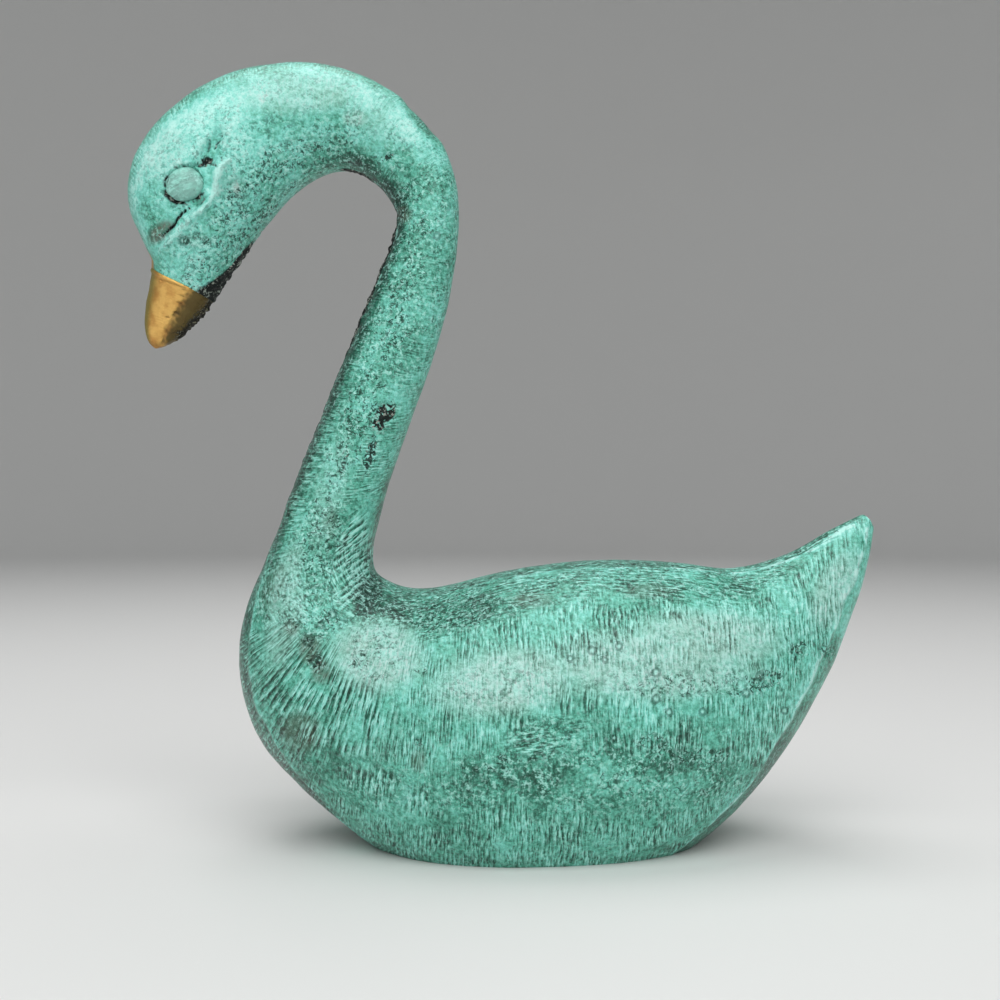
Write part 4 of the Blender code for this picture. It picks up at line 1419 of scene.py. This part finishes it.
def patina_finish():
    """The green of the body, the neck, the head and the eyes."""
    material, tree, shader, place = new_finish("patina_finish")
    crosswise, lengthwise, stippled, shade = stored_masks(tree, "tool")
    black, bloom, stain, gilt = stored_masks(tree, "wear_and_painted_light")
    pitted, ring_across, ring_down, blister = stored_masks(tree, "grit")
    coarse = stored(tree, "coarse", "Fac")
    form = stored(tree, "flow", "Vector")
    along, around, side = outputs_of(wire(tree, "SeparateXYZ", {"Vector": form}))
    turned = wire(tree, "CombineXYZ", {"X": around, "Y": along, "Z": side})
    comb = 0.3 + highest(crosswise - 1.0, 0.0)
    cross = use_group(tree, strokes_group, Flow=form, Comb=comb, **CROSS_STROKES)
    back = use_group(tree, strokes_group, Flow=turned, **BACK_STROKES)
    heavy = use_group(tree, strokes_group, Flow=form, **HEAVY_STROKES)
    grain = use_group(tree, grain_group, Place=place, Size=GRAIN_SIZE)
    pitting = highest(pitted, stippled * GRAIN_PITTING)
    pits = use_group(tree, pits_group, Place=place, Size=PIT_SIZE, Strength=pitting)
    mottle = cloudy(place, 0.17, Detail=6.0, Roughness=0.62)
    sponge = cloudy(place, 1.3, Detail=4.0, Roughness=0.8)
    # the crosswise lines fade in the pale wear and painted highlight
    crosswise_fading_in_pale = crosswise * (1.0 - bloom * 0.5)
    textures = (             # a texture, its mask, the mask of its lines, and its tone, lines and height
        (grain, stippled, stippled, 0.0, 0.90, 0.18), (cross, crosswise, crosswise_fading_in_pale, 0.45, 0.55, 0.07),
        (back, lengthwise, lengthwise, 0.50, 0.55, 0.07), (heavy, coarse, coarse, 0.60, 0.75, 0.16),
    )

    # the stored shade and the pale patches bring painted light and shade into the tone
    tone = 0.5 + swing(mottle, 0.9) + swing(shade) + swing(sponge, 1.2) + bloom * 0.10
    for texture, mask, _, share, _, _ in textures:
        tone = tone + swing(texture["Height"], share) * mask
    patchy = fade(sponge, 0.38, 0.60)
    # pale wear and painted highlight, laid on in streaks along the strokes
    streaky = bloom * (0.35 + patchy * 0.5) * (0.4 + cross["Height"] * 0.6)
    colour = mix_colour(streaky, green_ramp(tone), WEAR_AND_HIGHLIGHT_GREY)
    colour = mix_colour(stain * (0.45 + patchy * 0.55) * 0.7, colour, STAIN_BROWN)
    for texture, _, mask, _, share, _ in textures:
        colour = mix_colour(texture["Dark"] * mask * share, colour, LINE_GREEN)
        colour = mix_colour(texture["Light"] * mask * 0.75, colour, LINE_PALE)

    from_ring = reckon("SQRT", ring_across * ring_across + ring_down * ring_down) + swing(sponge, 1.6)
    near = fade(blister, 0.5, 0.9)
    ring = fade(reckon("ABSOLUTE", from_ring - RING_RADIUS), 0.6, 0.1) * near
    # the pale middle of a blister is a painted glint; the pits' pale edges are mixed in with it
    burst = fade(from_ring, 0.8, 0.3) * near
    colour = mix_colour((pits["Light"] + burst) * 0.5, colour, LINE_PALE)
    colour = mix_colour(highest(pits["Dark"] * 0.85, ring * 0.5), colour, LINE_GREEN)
    dark = fade(black + swing(sponge, 0.8), 0.22, 0.62)
    dark = highest(dark, pits["Dark"] * fade(pitted, 0.5, 0.85) * 0.95)
    colour = mix_colour(dark, colour, PIT_BLACK)
    # painted glints: pale flecks in the black of the pits and the seam
    colour = mix_colour(grain["Light"] * dark * 0.85, colour, PAINTED_GLINT_GREY)
    join(mix_colour(gilt, colour, GILT), shader["Base Color"])

    join(PATINA_ROUGHNESS + swing(sponge, 0.4) + dark * 0.3, shader["Roughness"])
    join((1.0 - dark) * WAX, shader["Coat Weight"])
    join(WAX_ROUGHNESS, shader["Coat Roughness"])
    join(PATINA_SPECULAR, shader["Specular IOR Level"])
    height = sponge * 0.07 + pits["Light"] * 0.06 - pits["Dark"] * 0.16 - ring * 0.12
    for texture, mask, _, _, _, rise in textures:
        height = height + texture["Height"] * mask * rise
    emboss(shader, height)
    return material


dress(body_pieces + [neck] + eye_pieces, patina_finish())

# %% [markdown]
# ## The bare beak and the braze
# The beak's upper half is filed brass with a warm shine. Below the mouth line it is a darker olive, partly
# tarnish and partly painted shade on the lower jaw, and the underside is black with painted glints. The braze
# inside the body is rougher, dull and a little redder.

# %% Brass finishes
BRIGHT_BRASS = paint(238, 192, 110)
DEEP_BRASS = paint(206, 152, 82)
DARK_BRASS = paint(66, 54, 38)
# partly tarnish, partly painted shade on the lower jaw
OLIVE = paint(58, 56, 28)
UNDER_BLACK = paint(30, 28, 20)
# painted glints on the black underside
UNDER_GLINT_GREY = paint(150, 146, 122)
CULMEN_OLIVE = paint(134, 130, 66)
TIP_BROWN = paint(150, 104, 52)
BRAZE_RED = paint(150, 112, 64)
FILE_SCRATCHES = {"Spacing": 0.35, "Length": 3.0, "Comb": 0.0}     # millimetres
BRAZE_RIPPLES = {"Spacing": 0.9, "Length": 2.5, "Comb": 0.0}
BEAK_GRAIN_SIZE = 0.5
BRAZE_GRAIN_SIZE = 1.1
BEAK_METALLIC = 0.55
BRAZE_METALLIC = 0.8
BEAK_SPECULAR = 0.25


def beak_finish():
    """Filed brass, darker olive below the mouth line from tarnish and painted shade, and black underneath."""
    material, tree, shader, place = new_finish("filed_brass_finish")
    cuts, culmen, below, under = stored_masks(tree, "wear_and_painted_light")
    tip = stored(tree, "tip", "Fac")
    form = stored(tree, "flow", "Vector")
    scratch = use_group(tree, strokes_group, Flow=form, **FILE_SCRATCHES)
    grain = use_group(tree, grain_group, Place=place, Size=BEAK_GRAIN_SIZE)
    cloud = cloudy(place, 0.45, Detail=5.0)
    black = fade(under + swing(grain["Height"], 0.5), 0.35, 0.7)
    tints = (
        (scratch["Dark"] * 0.35, DEEP_BRASS), (culmen * 0.85, CULMEN_OLIVE), (tip * 0.7, TIP_BROWN),
        # darker olive below the mouth line: partly tarnish, partly painted shade on the lower jaw
        (below * 0.9, OLIVE), (cuts, DARK_BRASS), (black, UNDER_BLACK),
        # painted glints on the black underside
        (grain["Light"] * fade(under, 0.3, 0.7) * 0.75, UNDER_GLINT_GREY),
    )
    colour = mix_colour(fade(cloud, 0.62, 0.36), BRIGHT_BRASS, DEEP_BRASS)
    for share, tint in tints:
        colour = mix_colour(share, colour, tint)
    join(colour, shader["Base Color"])
    join((1.0 - highest(black, below * 0.6)) * BEAK_METALLIC, shader["Metallic"])
    join(BEAK_SPECULAR, shader["Specular IOR Level"])
    join(0.36 + cloud * 0.2 + black * 0.25, shader["Roughness"])
    emboss(shader, scratch["Height"] * 0.025 + grain["Height"] * 0.06)
    return material


def braze_finish():
    """Dull, rippled filler."""
    material, tree, shader, place = new_finish("braze_finish")
    grain = use_group(tree, grain_group, Place=place, Size=BRAZE_GRAIN_SIZE)
    ripple = use_group(tree, strokes_group, Flow=place, **BRAZE_RIPPLES)
    colour = mix_colour(ripple["Height"], DARK_BRASS, BRAZE_RED)
    join(mix_colour(grain["Dark"], colour, PIT_BLACK), shader["Base Color"])
    join(0.4 + grain["Height"] * 0.3, shader["Roughness"])
    join(BRAZE_METALLIC, shader["Metallic"])
    emboss(shader, ripple["Height"] * 0.15 + grain["Height"] * 0.1)
    return material


dress([beak], beak_finish())
braze = braze_finish()
for node in ("rear_seam_braze", "breast_seam_braze", "neck_braze_ring"):
    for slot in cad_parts[node].material_slots:
        slot.material = braze
print(braze.name, "on the seams and the ring")
